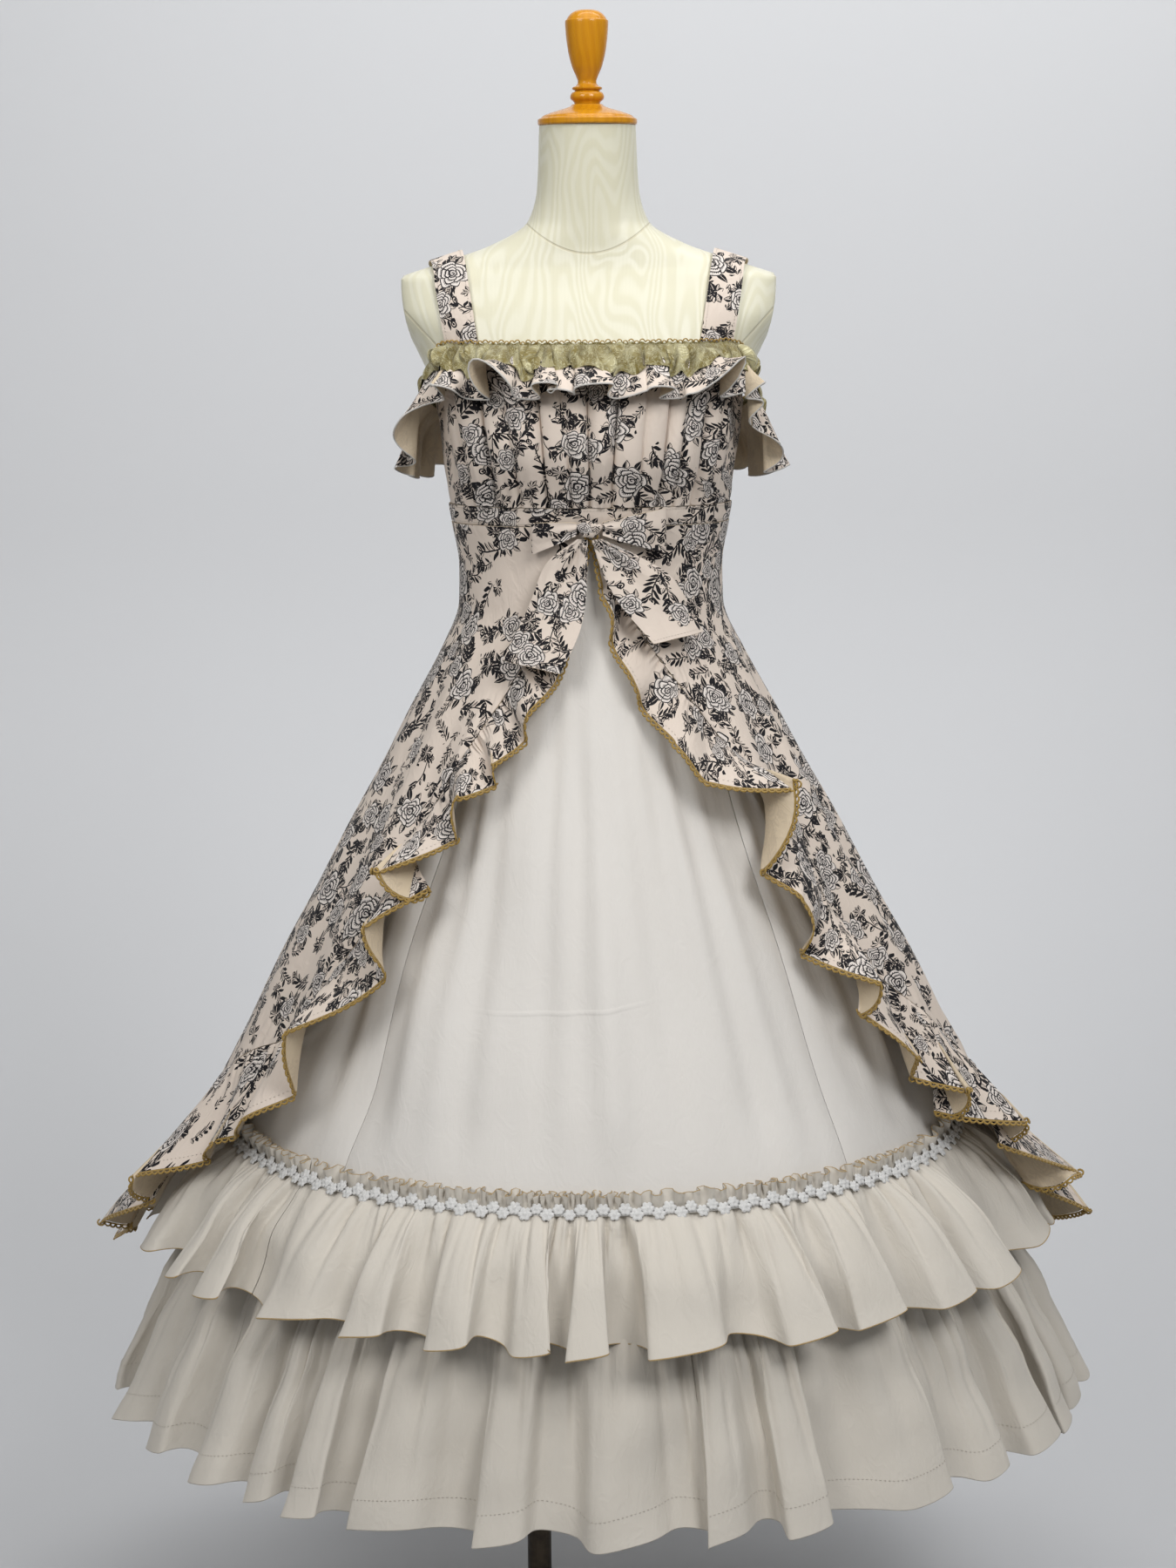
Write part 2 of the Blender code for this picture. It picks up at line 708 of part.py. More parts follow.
def tier_angles(tier, start, end):
    def phase(angle):
        return tier_phase(tier, angle)

    start, end = trough(phase, start), trough(phase, end)
    if end > 220:
        end = trough(phase, end - 360) + 360
    gap = math.degrees(SEAM_GAP / 0.36)
    return np.concatenate([[start + gap], evenly(phase, start, end, 4, math.pi / 4), [end - gap]])


def upper_tier(angle, share):
    """The upper tier with its heading: share 0 at the heading's top, 0.16 at the gathers, 1 at the hem."""
    below = np.clip((share - 0.16) / 0.84, 0, 1)
    above = np.clip((0.16 - share) / 0.16, 0, 1)
    points = on_tier(UPPER_TIER, angle, below, LAYER + 0.0006)
    ripple = LAYER + 0.0006 + above * (0.0030 + 0.0030 * np.sin(2 * tier_phase(UPPER_TIER, angle)))
    heading = on_skirt("under", angle, GATHER_LINE + (HEADING_TOP - GATHER_LINE) * above, ripple)
    return np.where((above > 0)[..., None], heading, points)


def lower_tier(angle, share):
    return on_tier(LOWER_TIER, angle, share)


def tiers(parent):
    for side, start, end in TIER_STRIPS:
        angles = tier_angles(UPPER_TIER, start, end)
        angle, share = np.meshgrid(angles, [0, 0.16, 1.0])
        cloth("tier_upper_" + side, upper_tier, angle, share, "ivory_cotton", parent)
        lace_trim(side, angles, parent)
        angle, share = np.meshgrid(tier_angles(LOWER_TIER, start, end), [0, 0.35, 1.0])
        cloth("tier_lower_" + side, lower_tier, angle, share, "ivory_cotton", parent)


def on_gathers(angle, share):
    """A smooth surface over the ridges beside the gathering line."""
    rise = LACE_TRIM_HALF * (1 - 2 * share)
    bulge = np.where(rise > 0, 0.55, 1.35) * np.abs(rise)
    return on_skirt("under", angle, GATHER_LINE + rise, 2 * LAYER + TRIM_REST + bulge)


def lace_trim(side, around, parent):
    """The flower braid sewn over the gathering line."""
    angles = np.linspace(around[0] + 0.05, around[-1] - 0.05, int((around[-1] - around[0]) / 4.5))
    angle, share = np.meshgrid(angles, [0.0, 1.0])
    cloth("lace_trim_" + side, on_gathers, angle, share, "white_lace", parent, thickness=0.0018)


# ---- tied sash

KNOT = Vector((-0.001, 0.0, 1.2185))
TAILS = {
    "left": table(
        "share inner_x inner_z outer_x outer_z lift",
        (0.0, 0.001, 1.2080, 0.011, 1.2090, 0.0078),
        (0.3, 0.011, 1.1760, 0.049, 1.1900, 0.0120),
        (0.6, 0.025, 1.1500, 0.077, 1.1720, 0.0210),
        (1.0, 0.060, 1.1090, 0.110, 1.1170, 0.0330),
    ),
    "right": table(
        "share inner_x inner_z outer_x outer_z lift",
        (0.0, -0.003, 1.2080, -0.013, 1.2090, 0.0078),
        (0.3, -0.004, 1.1620, -0.044, 1.1840, 0.0120),
        (0.6, -0.009, 1.1290, -0.060, 1.1460, 0.0240),
        (1.0, -0.030, 1.0830, -0.086, 1.0940, 0.0340),
    ),
}
LOOPS = {
    "left": {"side": 1, "reach": 0.062, "fall": 0.05, "spread": 0.0160},
    "right": {"side": -1, "reach": 0.044, "fall": 0.22, "spread": 0.0095},
}


def on_front(x, height, lift):
    """A point in front of the overskirt at the given place across and height."""
    half = along(SKIRT, "over", height)
    front = half * along(SKIRT, "front_share", height)
    y = -front * np.sqrt(1 - np.clip(x / half, -0.98, 0.98) ** 2) - lift
    return np.stack(np.broadcast_arrays(x, y, height), -1)


def sash(parent):
    share, across = np.meshgrid(np.linspace(0, 1, 8), np.linspace(0, 1, 6), indexing="ij")
    for name, tail in TAILS.items():
        inner_x, inner_z, outer_x, outer_z, lift = (
            along(tail, column, share, "share")
            for column in ("inner_x", "inner_z", "outer_x", "outer_z", "lift")
        )
        fold = 0.0035 * np.sin(3 * math.pi * across + 0.6) * ramp(share, 0, 0.3) * (1 - 0.6 * share)
        x = inner_x + (outer_x - inner_x) * across
        points = on_front(x, inner_z + (outer_z - inner_z) * across, lift + fold)
        strip("sash_tail_" + name, points[:, :: 1 if name == "left" else -1], "floral_cotton", parent)
    for name, loop in LOOPS.items():
        strip("sash_loop_" + name, loop_points(**loop), "floral_cotton", parent)
    knot(parent)


def loop_points(side, reach, fall, spread):
    """A strip that leaves the knot, folds back on itself and returns behind."""
    turn = np.linspace(0, np.pi, 13)
    out = 0.0126 + reach * np.sin(turn) ** 0.8
    depth = 0.0018 + 0.0062 * (1 + np.cos(turn)) * (0.40 + 0.60 * np.sin(turn))
    rows = []
    for across in np.linspace(1, -1, 5):
        half = 0.006 + spread * np.sin(turn) ** 0.7
        height = KNOT.z - fall * (out - 0.0126) + half * across
        rows.append(on_front(KNOT.x + side * out, height, depth))
    points = np.array(rows)
    return points[:, ::-1] if side > 0 else points


def knot(parent):
    """The tied centre of the sash, a short rolled wrap."""
    mesh = bmesh.new()
    bmesh.ops.create_uvsphere(mesh, u_segments=16, v_segments=9, radius=1)
    centre = on_front(np.array(KNOT.x), np.array(KNOT.z), 0.0074)
    for vert in mesh.verts:
        x, y, z = vert.co
        pinch = 1 - 0.16 * math.cos(3 * math.atan2(x, z))
        vert.co = Vector(centre) + Vector((0.0115 * x * pinch, 0.0075 * y, 0.0105 * z))
    data = bpy.data.meshes.new("sash_knot")
    mesh.to_mesh(data)
    mesh.free()
    data.shade_smooth()
    add_object("sash_knot", data, "floral_cotton", parent)


def main():
    for old in list(bpy.data.objects):
        bpy.data.objects.remove(old)
    form = bpy.data.objects.new("dress_form", None)
    dress = bpy.data.objects.new("jumper_dress", None)
    for group in (form, dress):
        bpy.context.scene.collection.objects.link(group)
    surface = form_body(form)
    stand(form)
    bodice(dress)
    band(dress)
    straps(dress, surface)
    neck_frill(dress)
    underskirt(dress)
    overskirt(dress)
    flounce(dress)
    tiers(dress)
    sash(dress)


main()
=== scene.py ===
import math
import bmesh
import bpy
import numpy as np
from mathutils import Matrix, Vector
from mathutils.bvhtree import BVHTree


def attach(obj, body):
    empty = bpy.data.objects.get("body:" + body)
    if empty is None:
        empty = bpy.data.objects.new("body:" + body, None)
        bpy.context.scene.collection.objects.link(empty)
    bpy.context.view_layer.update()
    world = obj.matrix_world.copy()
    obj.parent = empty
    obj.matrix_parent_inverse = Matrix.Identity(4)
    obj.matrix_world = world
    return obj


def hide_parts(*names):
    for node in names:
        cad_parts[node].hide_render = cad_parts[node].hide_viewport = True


# A jumper dress on a limbless dress form. Metres, -Y is the front, +X the wearer's left.
# Angles run round the figure in degrees, 0 at the centre front, 90 at the wearer's left.

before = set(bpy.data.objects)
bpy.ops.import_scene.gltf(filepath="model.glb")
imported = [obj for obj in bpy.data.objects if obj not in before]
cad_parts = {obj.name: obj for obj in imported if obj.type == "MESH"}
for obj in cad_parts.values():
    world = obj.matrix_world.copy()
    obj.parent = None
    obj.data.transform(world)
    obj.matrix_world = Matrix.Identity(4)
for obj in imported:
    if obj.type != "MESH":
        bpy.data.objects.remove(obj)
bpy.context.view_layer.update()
scene = bpy.context.scene
clothThickness = 0.001
stripThickness = 0.0012  # the band, the straps and the white lace
seamGap = 0.0003
layerStep = clothThickness + seamGap


def columns(names, *rows):
    return dict(zip(names.split(), np.array(rows, float).T))


def curveThrough(table, name, at, key="height"):
    # a smooth curve through one column that never overshoots its rows
    order = np.argsort(table[key])
    knots, values = table[key][order], table[name][order]
    step = np.diff(knots)
    slope = np.diff(values) / step
    tangent = np.concatenate([slope[:1], np.zeros(len(knots) - 2), slope[-1:]])
    for i in range(1, len(knots) - 1):
        if slope[i - 1] * slope[i] > 0:
            before, after = 2 * step[i] + step[i - 1], step[i] + 2 * step[i - 1]
            tangent[i] = (before + after) / (before / slope[i - 1] + after / slope[i])
    at = np.clip(np.asarray(at, float), knots[0], knots[-1])
    i = np.clip(np.searchsorted(knots, at) - 1, 0, len(step) - 1)
    t = (at - knots[i]) / step[i]
    return (
        values[i] * (1 + 2 * t) * (1 - t) ** 2
        + tangent[i] * step[i] * t * (1 - t) ** 2
        + values[i + 1] * t * t * (3 - 2 * t)
        - tangent[i + 1] * step[i] * t * t * (1 - t)
    )


def ramp(value, start, end):
    t = np.clip((np.asarray(value, float) - start) / (end - start), 0, 1)
    return t * t * (3 - 2 * t)


def bump(value, centre, width):
    return np.exp(-(((np.asarray(value, float) - centre) / width) ** 2))


def crumple(u, v, seed, size=0.06):
    # soft uneven swellings, about -1 to 1, size metres across
    rolls = np.random.default_rng(seed)
    total = 0
    for _ in range(8):
        way, pace, start = rolls.uniform(0, np.pi), rolls.uniform(0.6, 1.7), rolls.uniform(0, 2 * np.pi)
        total = total + np.sin(2 * np.pi * pace * (u * np.cos(way) + v * np.sin(way)) / size / 1.6 + start)
    return total / 3.2


def chance(phase, waves, seed, low, high, shift=0.25):
    # a value that drifts from wave to wave, the same each run, joining up after the last wave
    values = np.random.default_rng(seed).uniform(low, high, waves)
    at = phase / (2 * np.pi) + shift
    k = np.floor(at).astype(int)
    t = at - k
    return values[k % waves] + (values[(k + 1) % waves] - values[k % waves]) * t * t * (3 - 2 * t)


def section(angle, height, halfWidth, front, back, square=1.0):
    turn = np.radians(angle)
    side, ahead = np.sin(turn), np.cos(turn)
    depth = np.where(ahead >= 0, front, back)
    x = halfWidth * np.sign(side) * np.abs(side) ** square
    y = -depth * np.sign(ahead) * np.abs(ahead) ** square
    return np.stack(np.broadcast_arrays(x, y, height), -1)


# camera, floor and light

studio = {
    "lens": 72.0,
    "eye": (-0.0045, -3.15, 1.45),
    "pitch": 9.0,
    "roll": -0.45,
    # the wall's distance behind the dress, and the sheet's half width, height, bend and colour
    "wall": 1.9,
    "halfWidth": 6.0,
    "wallTop": (3.0, 6.0),
    "bend": 1.1,
    "bendSteps": 24,
    "backdropColour": (0.70, 0.705, 0.715),
    # the room's own light, and how much paler a bare view of it is
    "roomColour": (0.93, 0.96, 1.0, 1),
    "room": 0.23,
    "roomSeen": 0.38,
    # each row: name, power, size, place, aim, tint, spread
    "lights": (
        ("keyLight", 22.0, (1.3, 1.5), (1.5, -2.5, 3.3), (0, 0, 1.7), (0.99, 0.99, 1.0), 100),
        ("wallLight", 31.0, (3.2, 0.8), (0.6, 0.5, 3.5), (0.3, 1.9, 2.2), (0.98, 0.99, 1.0), 180),
        ("fillLight", 15.0, (1.4, 1.6), (-1.8, -2.5, 3.0), (0, 0, 1.6), (1.0, 0.99, 0.98), 100),
        ("topLight", 20.0, (2.4, 1.6), (0.3, -0.5, 3.5), (0, 0.1, 1.2), (1.0, 0.99, 0.98), 180),
    ),
}


def setCamera():
    camera = bpy.data.objects.new("camera", bpy.data.cameras.new("camera"))
    scene.collection.objects.link(camera)
    camera.data.lens = studio["lens"]
    camera.data.sensor_width = 36.0
    camera.data.clip_end = 60.0
    tilt = Matrix.Rotation(math.radians(90 - studio["pitch"]), 4, "X")
    roll = Matrix.Rotation(math.radians(studio["roll"]), 4, "Z")
    camera.matrix_world = Matrix.Translation(studio["eye"]) @ tilt @ roll
    scene.camera = camera


def softbox(name, power, size, place, aim, tint, spread):
    light = bpy.data.objects.new(name, bpy.data.lights.new(name, "AREA"))
    scene.collection.objects.link(light)
    light.data.shape = "RECTANGLE"
    light.data.size, light.data.size_y = size
    light.data.energy = power
    light.data.color = tint
    light.data.spread = math.radians(spread)
    light.location = place
    light.rotation_euler = (Vector(aim) - Vector(place)).to_track_quat("-Z", "Y").to_euler()


def setStudio():
    # one seamless sheet: floor, a long bend, then the wall
    far, bend, half, steps = (studio[key] for key in ("wall", "bend", "halfWidth", "bendSteps"))
    path = [(-half, 0.0), (-half / 2, 0.0), (far - bend, 0.0)]
    for k in range(1, steps + 1):
        turn = math.pi / 2 * k / steps
        path.append((far - bend + bend * math.sin(turn), bend - bend * math.cos(turn)))
    path += [(far, top) for top in studio["wallTop"]]
    verts = [(x, y, z) for x in (-half, half) for y, z in path]
    count = len(path)
    faces = [(k, k + count, k + count + 1, k + 1) for k in range(count - 1)]
    sheet = bpy.data.meshes.new("backdrop")
    sheet.from_pydata(verts, [], faces)
    sheet.shade_smooth()
    backdrop = bpy.data.objects.new("backdrop", sheet)
    scene.collection.objects.link(backdrop)
    sheet.materials.append(backdropPaper())
    world = bpy.data.worlds.new("studioAir")
    world.use_nodes = True
    air = world.node_tree.nodes["Background"]
    air.inputs["Color"].default_value = studio["roomColour"]
    seen = world.node_tree.nodes.new("ShaderNodeLightPath").outputs["Is Camera Ray"]
    glow = world.node_tree.nodes.new("ShaderNodeMath")  # pale where only the room shows
    glow.operation = "MULTIPLY_ADD"
    glow.inputs[1].default_value, glow.inputs[2].default_value = studio["roomSeen"], studio["room"]
    world.node_tree.links.new(seen, glow.inputs[0])
    world.node_tree.links.new(glow.outputs[0], air.inputs["Strength"])
    scene.world = world
    for light in studio["lights"]:
        softbox(*light)
    scene.view_settings.view_transform = "Standard"


# node helpers


class wire:
    # a socket of a shader tree that can be added, multiplied and so on
    def __init__(self, tree, socket):
        self.tree, self.socket = tree, socket

    def __add__(self, other):
        return maths("ADD", self, other)

    def __sub__(self, other):
        return maths("SUBTRACT", self, other)

    def __rsub__(self, other):
        return maths("SUBTRACT", other, self)

    def __mul__(self, other):
        return maths("MULTIPLY", self, other)

    def __truediv__(self, other):
        return maths("DIVIDE", self, other)

    def __rtruediv__(self, other):
        return maths("DIVIDE", other, self)

    def __gt__(self, other):
        return maths("GREATER_THAN", self, other)

    def __lt__(self, other):
        return maths("LESS_THAN", self, other)

    __radd__, __rmul__ = __add__, __mul__


def join(tree, value, socket):
    if isinstance(value, wire):
        tree.links.new(value.socket, socket)
    else:
        socket.default_value = value


def maths(kind, *values, clamp=False):
    tree = next(v.tree for v in values if isinstance(v, wire))
    node = tree.nodes.new("ShaderNodeMath")
    node.operation, node.use_clamp = kind, clamp
    for value, socket in zip(values, node.inputs):
        join(tree, value, socket)
    return wire(tree, node.outputs[0])


def most(first, second):
    return maths("MAXIMUM", first, second)


def fade(value, start, end):
    # 0 at start, 1 at end
    node = value.tree.nodes.new("ShaderNodeMapRange")
    node.interpolation_type = "SMOOTHSTEP"
    join(value.tree, value, node.inputs["Value"])
    join(value.tree, start, node.inputs["From Min"])
    join(value.tree, end, node.inputs["From Max"])
    return wire(value.tree, node.outputs["Result"])


def vector(tree, x, y, z=0.0):
    node = tree.nodes.new("ShaderNodeCombineXYZ")
    for value, socket in zip((x, y, z), node.inputs):
        join(tree, value, socket)
    return wire(tree, node.outputs[0])


def parts(value, kind="ShaderNodeSeparateXYZ"):
    node = value.tree.nodes.new(kind)
    join(value.tree, value, node.inputs[0])
    return [wire(value.tree, socket) for socket in node.outputs[:3]]


def noise(place, scale, detail=2.0, rough=0.5, distortion=0.0, output="Fac"):
    node = place.tree.nodes.new("ShaderNodeTexNoise")
    join(place.tree, place, node.inputs["Vector"])
    node.inputs["Scale"].default_value = scale
    node.inputs["Detail"].default_value = detail
    node.inputs["Roughness"].default_value = rough
    node.inputs["Distortion"].default_value = distortion
    return wire(place.tree, node.outputs[output])


def dice(place, output="Value"):
    node = place.tree.nodes.new("ShaderNodeTexWhiteNoise")
    node.noise_dimensions = "3D"
    join(place.tree, place, node.inputs["Vector"])
    return wire(place.tree, node.outputs[output])


def scaled(place, x, y, z=1.0):
    node = place.tree.nodes.new("ShaderNodeMapping")
    join(place.tree, place, node.inputs["Vector"])
    node.inputs["Scale"].default_value = (x, y, z)
    return wire(place.tree, node.outputs[0])


def mixed(amount, first, second):
    tree = next(v.tree for v in (amount, first, second) if isinstance(v, wire))
    node = tree.nodes.new("ShaderNodeMix")
    node.data_type = "RGBA"
    sockets = [s for s in node.inputs if s.enabled]
    for value, socket in zip((amount, first, second), sockets):
        join(tree, (*value, 1) if isinstance(value, tuple) else value, socket)
    return wire(tree, next(s for s in node.outputs if s.enabled))


def newGroup(name, inputs, outputs):
    tree = bpy.data.node_groups.new(name, "ShaderNodeTree")
    for title, (kind, value) in inputs.items():
        socket = tree.interface.new_socket(title, in_out="INPUT", socket_type="NodeSocket" + kind)
        if value is not None:
            socket.default_value = value
    for title, kind in outputs.items():
        tree.interface.new_socket(title, in_out="OUTPUT", socket_type="NodeSocket" + kind)
    given, result = tree.nodes.new("NodeGroupInput"), tree.nodes.new("NodeGroupOutput")
    return tree, {s.name: wire(tree, s) for s in given.outputs if s.name}, result


def useGroup(group, tree, **values):
    node = tree.nodes.new("ShaderNodeGroup")
    node.node_tree = group
    for name, value in values.items():
        join(tree, value, node.inputs[name])
    return {s.name: wire(tree, s) for s in node.outputs}


# the cloth's weave, and the printed flowers


def makeWeave():
    # plain weave with uneven threads: Height for bump, Tone for a faint colour change
    tree, given, result = newGroup(
        "plainWeave",
        {"Cloth": ("Vector", None), "Thread": ("Float", 0.0005)},
        {"Height": "Float", "Tone": "Float"},
    )
    x, y, _ = parts(given["Cloth"])
    warp = maths("SINE", x / given["Thread"] * math.pi)
    weft = maths("SINE", y / given["Thread"] * math.pi)
    slubAcross = noise(scaled(given["Cloth"], 60, 1600), 1.0, 2.0)
    slubDown = noise(scaled(given["Cloth"], 1600, 60), 1.0, 2.0)
    blotch = noise(given["Cloth"], 30.0, 3.0)
    threads = warp * weft * 0.25 + (slubAcross + slubDown) * 0.5
    join(tree, threads, result.inputs["Height"])
    join(tree, (slubAcross + slubDown) * 0.25 + blotch * 0.5, result.inputs["Tone"])
    return tree


def makeCreases():
    # soft handling creases, longer down the cloth than across
    tree, given, result = newGroup("softCreases", {"Cloth": ("Vector", None)}, {"Height": "Float"})
    broad = noise(scaled(given["Cloth"], 26, 9), 1.0, 2.0, 0.5, 0.6)
    sharp = noise(scaled(given["Cloth"], 60, 34), 1.0, 2.0, 0.55, 0.8)
    ridge = 1.0 - maths("ABSOLUTE", sharp - 0.5) * 6.0
    join(tree, broad * 0.8 + most(ridge, 0.0) * 0.2, result.inputs["Height"])
    return tree


def makeRose():
    # a full rose seen from above, drawn in lines: rings of petals, splits between them and hatching
    tree, given, result = newGroup(
        "lineRose",
        {"Across": ("Float", 0.0), "Up": ("Float", 0.0), "Turn": ("Float", 0.0)},
        {"Line": "Float", "Shade": "Float", "Cover": "Float"},
    )
    x, y, turn = given["Across"], given["Up"], given["Turn"]
    reach = maths("SQRT", x * x + y * y)
    angle = maths("ARCTAN2", y, x) + turn * 6.283
    wobble = 1.0 + 0.09 * maths("SINE", angle * 3 + turn * 17) + 0.05 * maths("SINE", angle * 7 - turn * 9)
    reach = reach / wobble
    line, shade, lastEdge = None, None, None
    for petals, size, start in ((3, 0.26, 0.4), (4, 0.48, 1.5), (5, 0.73, 0.7), (6, 1.0, 0.0)):
        lobe = maths("ABSOLUTE", maths("COSINE", angle * (petals / 2) + turn * (petals + 1.0) + start))
        edge = size * (0.78 + 0.22 * maths("POWER", lobe, 0.55))
        drawn = fade(maths("ABSOLUTE", reach - edge), 0.050, 0.016)
        if lastEdge is not None:
            within = (reach > lastEdge) * (reach < edge)
            split = fade(lobe * reach * (2 / petals), 0.05, 0.02) * within
            depth = (reach - lastEdge) / (edge - lastEdge)
            hatch = fade(maths("SINE", angle * (petals * 8) + reach * 11), 0.1, 0.6)
            tone = fade(depth, 0.62, 0.05) * within
            gap = fade(depth, 0.30 - 0.28 * lobe, 0.17 - 0.28 * lobe) * within
            drawn = most(most(drawn, gap), most(split, hatch * tone))
            shade = most(shade, tone)
        else:
            drawn = most(drawn, fade(maths("SINE", angle + reach * 34), 0.0, 0.6) * (reach < edge))
            shade = fade(reach, 0.3, 0.1)
        line = drawn if line is None else most(line, drawn)
        lastEdge = edge
    join(tree, line, result.inputs["Line"])
    join(tree, shade, result.inputs["Shade"])
    join(tree, fade(reach - lastEdge, 0.06, 0.03), result.inputs["Cover"])
    return tree


def makeLeaves():
    # pointed leaves fanned round a centre, dark and veined, with some missing
    tree, given, result = newGroup(
        "leafFan",
        {"Across": ("Float", 0.0), "Up": ("Float", 0.0), "Turn": ("Float", 0.0), "Inner": ("Float", 0.8)},
        {"Ink": "Float"},
    )
    x, y, turn = given["Across"], given["Up"], given["Turn"]
    reach = maths("SQRT", x * x + y * y)
    angle = maths("ARCTAN2", y, x) / (2 * math.pi) + 0.5 + turn
    swirl = angle * 9 + reach * (turn - 0.5) * 1.3
    number = maths("FLOOR", swirl)
    beside = maths("ABSOLUTE", swirl - number - 0.5) * reach * (2 * math.pi / 9)
    luck = dice(vector(tree, maths("MODULO", number + 90, 9), turn * 77, 3.0))
    along = (reach - given["Inner"]) / (0.50 + 0.45 * luck)
    swell = maths("SINE", maths("POWER", maths("ADD", along, 0, clamp=True), 0.8) * math.pi) * 0.24
    inside = fade(beside - swell, 0.02, -0.01) * (along > 0.0) * (along < 1.0) * (luck > 0.16)
    vein = fade(maths("SINE", (along + beside * 2.2) * 36), 0.2, 0.5)
    rib = fade(beside, 0.010, 0.025)
    rim = fade(swell - beside, 0.055, 0.035)
    shaded = (swirl - number - 0.5) > (luck * 0.3 - 0.12)
    hatched = most(vein * (luck > 0.4), luck > 0.74) * rib
    join(tree, inside * most(most(rim, shaded * rib), hatched), result.inputs["Ink"])
    return tree


def makeSprig():
    # a curved stalk with pairs of small pointed leaves and a bud, about two units long
    tree, given, result = newGroup(
        "leafSprig",
        {"Across": ("Float", 0.0), "Up": ("Float", 0.0), "Turn": ("Float", 0.0)},
        {"Ink": "Float", "Cover": "Float"},
    )
    x, y, turn = given["Across"], given["Up"], given["Turn"]
    bend = maths("SINE", y * 1.7 + turn * 6.0) * 0.22
    off = x - bend
    beside = maths("ABSOLUTE", off)
    inLength = fade(maths("ABSOLUTE", y), 1.0, 0.96)
    stalk = fade(beside, 0.05, 0.02) * inLength
    side = maths("SIGN", off)
    slot = y * 2.6 + beside * -2.3 + side * 0.2 + 10.0
    number = maths("FLOOR", slot)
    luck = dice(vector(tree, number, side + turn * 50, 8.0))
    along = beside / (0.34 + 0.22 * luck)
    swell = maths("SINE", maths("ADD", along, 0, clamp=True) * math.pi) * (0.30 + 0.12 * luck)
    leaf = fade(maths("ABSOLUTE", slot - number - 0.5) - swell, 0.03, -0.03)
    leaf = leaf * (along < 1.0) * (luck > 0.22) * inLength
    edge = fade(swell - maths("ABSOLUTE", slot - number - 0.5), 0.13, 0.08)
    leaf = leaf * most(edge, most((slot - number) > 0.5, luck > 0.55))
    top = y - 0.95
    bud = maths("SQRT", off * off + top * top)
    ring = fade(maths("ABSOLUTE", bud - 0.17), 0.06, 0.02)
    heart = fade(bud, 0.09, 0.05)
    join(tree, most(most(stalk, leaf), most(ring, heart)), result.inputs["Ink"])
    join(tree, (bud < 0.2), result.inputs["Cover"])
    return tree


# each row: what is drawn, cell size, turn of the lattice, seed, size of the motif, how often
printRows = (
    ("rose", 0.058, 0.12, 3.0, 0.0158, 0.68),
    ("rose", 0.047, 0.93, 11.0, 0.0116, 0.64),
    ("leaves", 0.037, 0.44, 23.0, 0.0124, 0.68),
    ("sprig", 0.037, 0.27, 31.0, 0.0165, 0.80),
    ("sprig", 0.030, 1.21, 47.0, 0.0132, 0.70),
)


def makePrint(rose, leaves, sprig):
    # bouquets in loose upright chains with bare ground between, nowhere repeating
    tree, given, result = newGroup(
        "flowerPrint", {"Cloth": ("Vector", None)}, {"Ink": "Float", "Shade": "Float", "Petals": "Float"}
    )
    push = parts(noise(given["Cloth"], 34.0, 1.0, output="Color"), "ShaderNodeSeparateColor")
    x, y, _ = parts(given["Cloth"])
    x, y = x + (push[0] - 0.5) * 0.010, y + (push[1] - 0.5) * 0.010
    ink, shade, petals, leafInk, free = None, None, None, None, None
    for kind, cell, lean, seed, size, often in printRows:
        u = (x * math.cos(lean) + y * math.sin(lean)) / cell
        v = (y * math.cos(lean) - x * math.sin(lean)) / cell
        columnNumber, rowNumber = maths("FLOOR", u), maths("FLOOR", v)
        spot = vector(tree, columnNumber, rowNumber, seed)
        luck = parts(dice(spot, "Color"), "ShaderNodeSeparateColor")
        room = max(0.5 - 1.05 * size / cell, 0.08)
        u = u - columnNumber - 0.5 - (luck[0] - 0.5) * (2 * room)
        v = v - rowNumber - 0.5 - (luck[1] - 0.5) * (2 * room)
        cellX, cellY = cell * math.cos(lean), cell * math.sin(lean)
        midX = (columnNumber + 0.5) * cellX - (rowNumber + 0.5) * cellY
        midY = (rowNumber + 0.5) * cellX + (columnNumber + 0.5) * cellY
        chain = noise(vector(tree, midX, midY * 0.42, 0.37), 11.0, 1.0)
        shown = (chain + (luck[2] - 0.5) * 0.30) > (1.0 - often * 0.5 - 0.235)
        spin = luck[2] * 6.283
        cosine, sine = maths("COSINE", spin), maths("SINE", spin)
        grow = (cell / size) / (0.80 + 0.35 * luck[1])
        across, up = (u * cosine - v * sine) * grow, (u * sine + v * cosine) * grow
        if kind == "rose":
            drawn = useGroup(rose, tree, Across=across, Up=up, Turn=luck[2])
            fan = useGroup(leaves, tree, Across=across, Up=up, Turn=luck[0], Inner=0.82)["Ink"] * shown
            line, tone, cover = drawn["Line"] * shown, drawn["Shade"] * shown, drawn["Cover"] * shown
            if ink is None:
                ink, shade, petals, leafInk, free = line, tone * cover, cover, fan, 1.0 - cover
            else:
                ink = most(ink, line * free)
                shade = most(shade, tone * cover * free)
                petals, leafInk, free = most(petals, cover), most(leafInk, fan), free * (1.0 - cover)
        elif kind == "leaves":
            fan = useGroup(leaves, tree, Across=across, Up=up, Turn=luck[0], Inner=0.05)["Ink"]
            leafInk = most(leafInk, fan * shown)
        else:
            drawn = useGroup(sprig, tree, Across=across, Up=up, Turn=luck[0])
            leafInk = most(leafInk, drawn["Ink"] * shown)
    join(tree, fade(most(ink, leafInk * free), 0.18, 0.49), result.inputs["Ink"])
    join(tree, most(shade, leafInk * free * 0.6), result.inputs["Shade"])
    join(tree, petals, result.inputs["Petals"])
    return tree


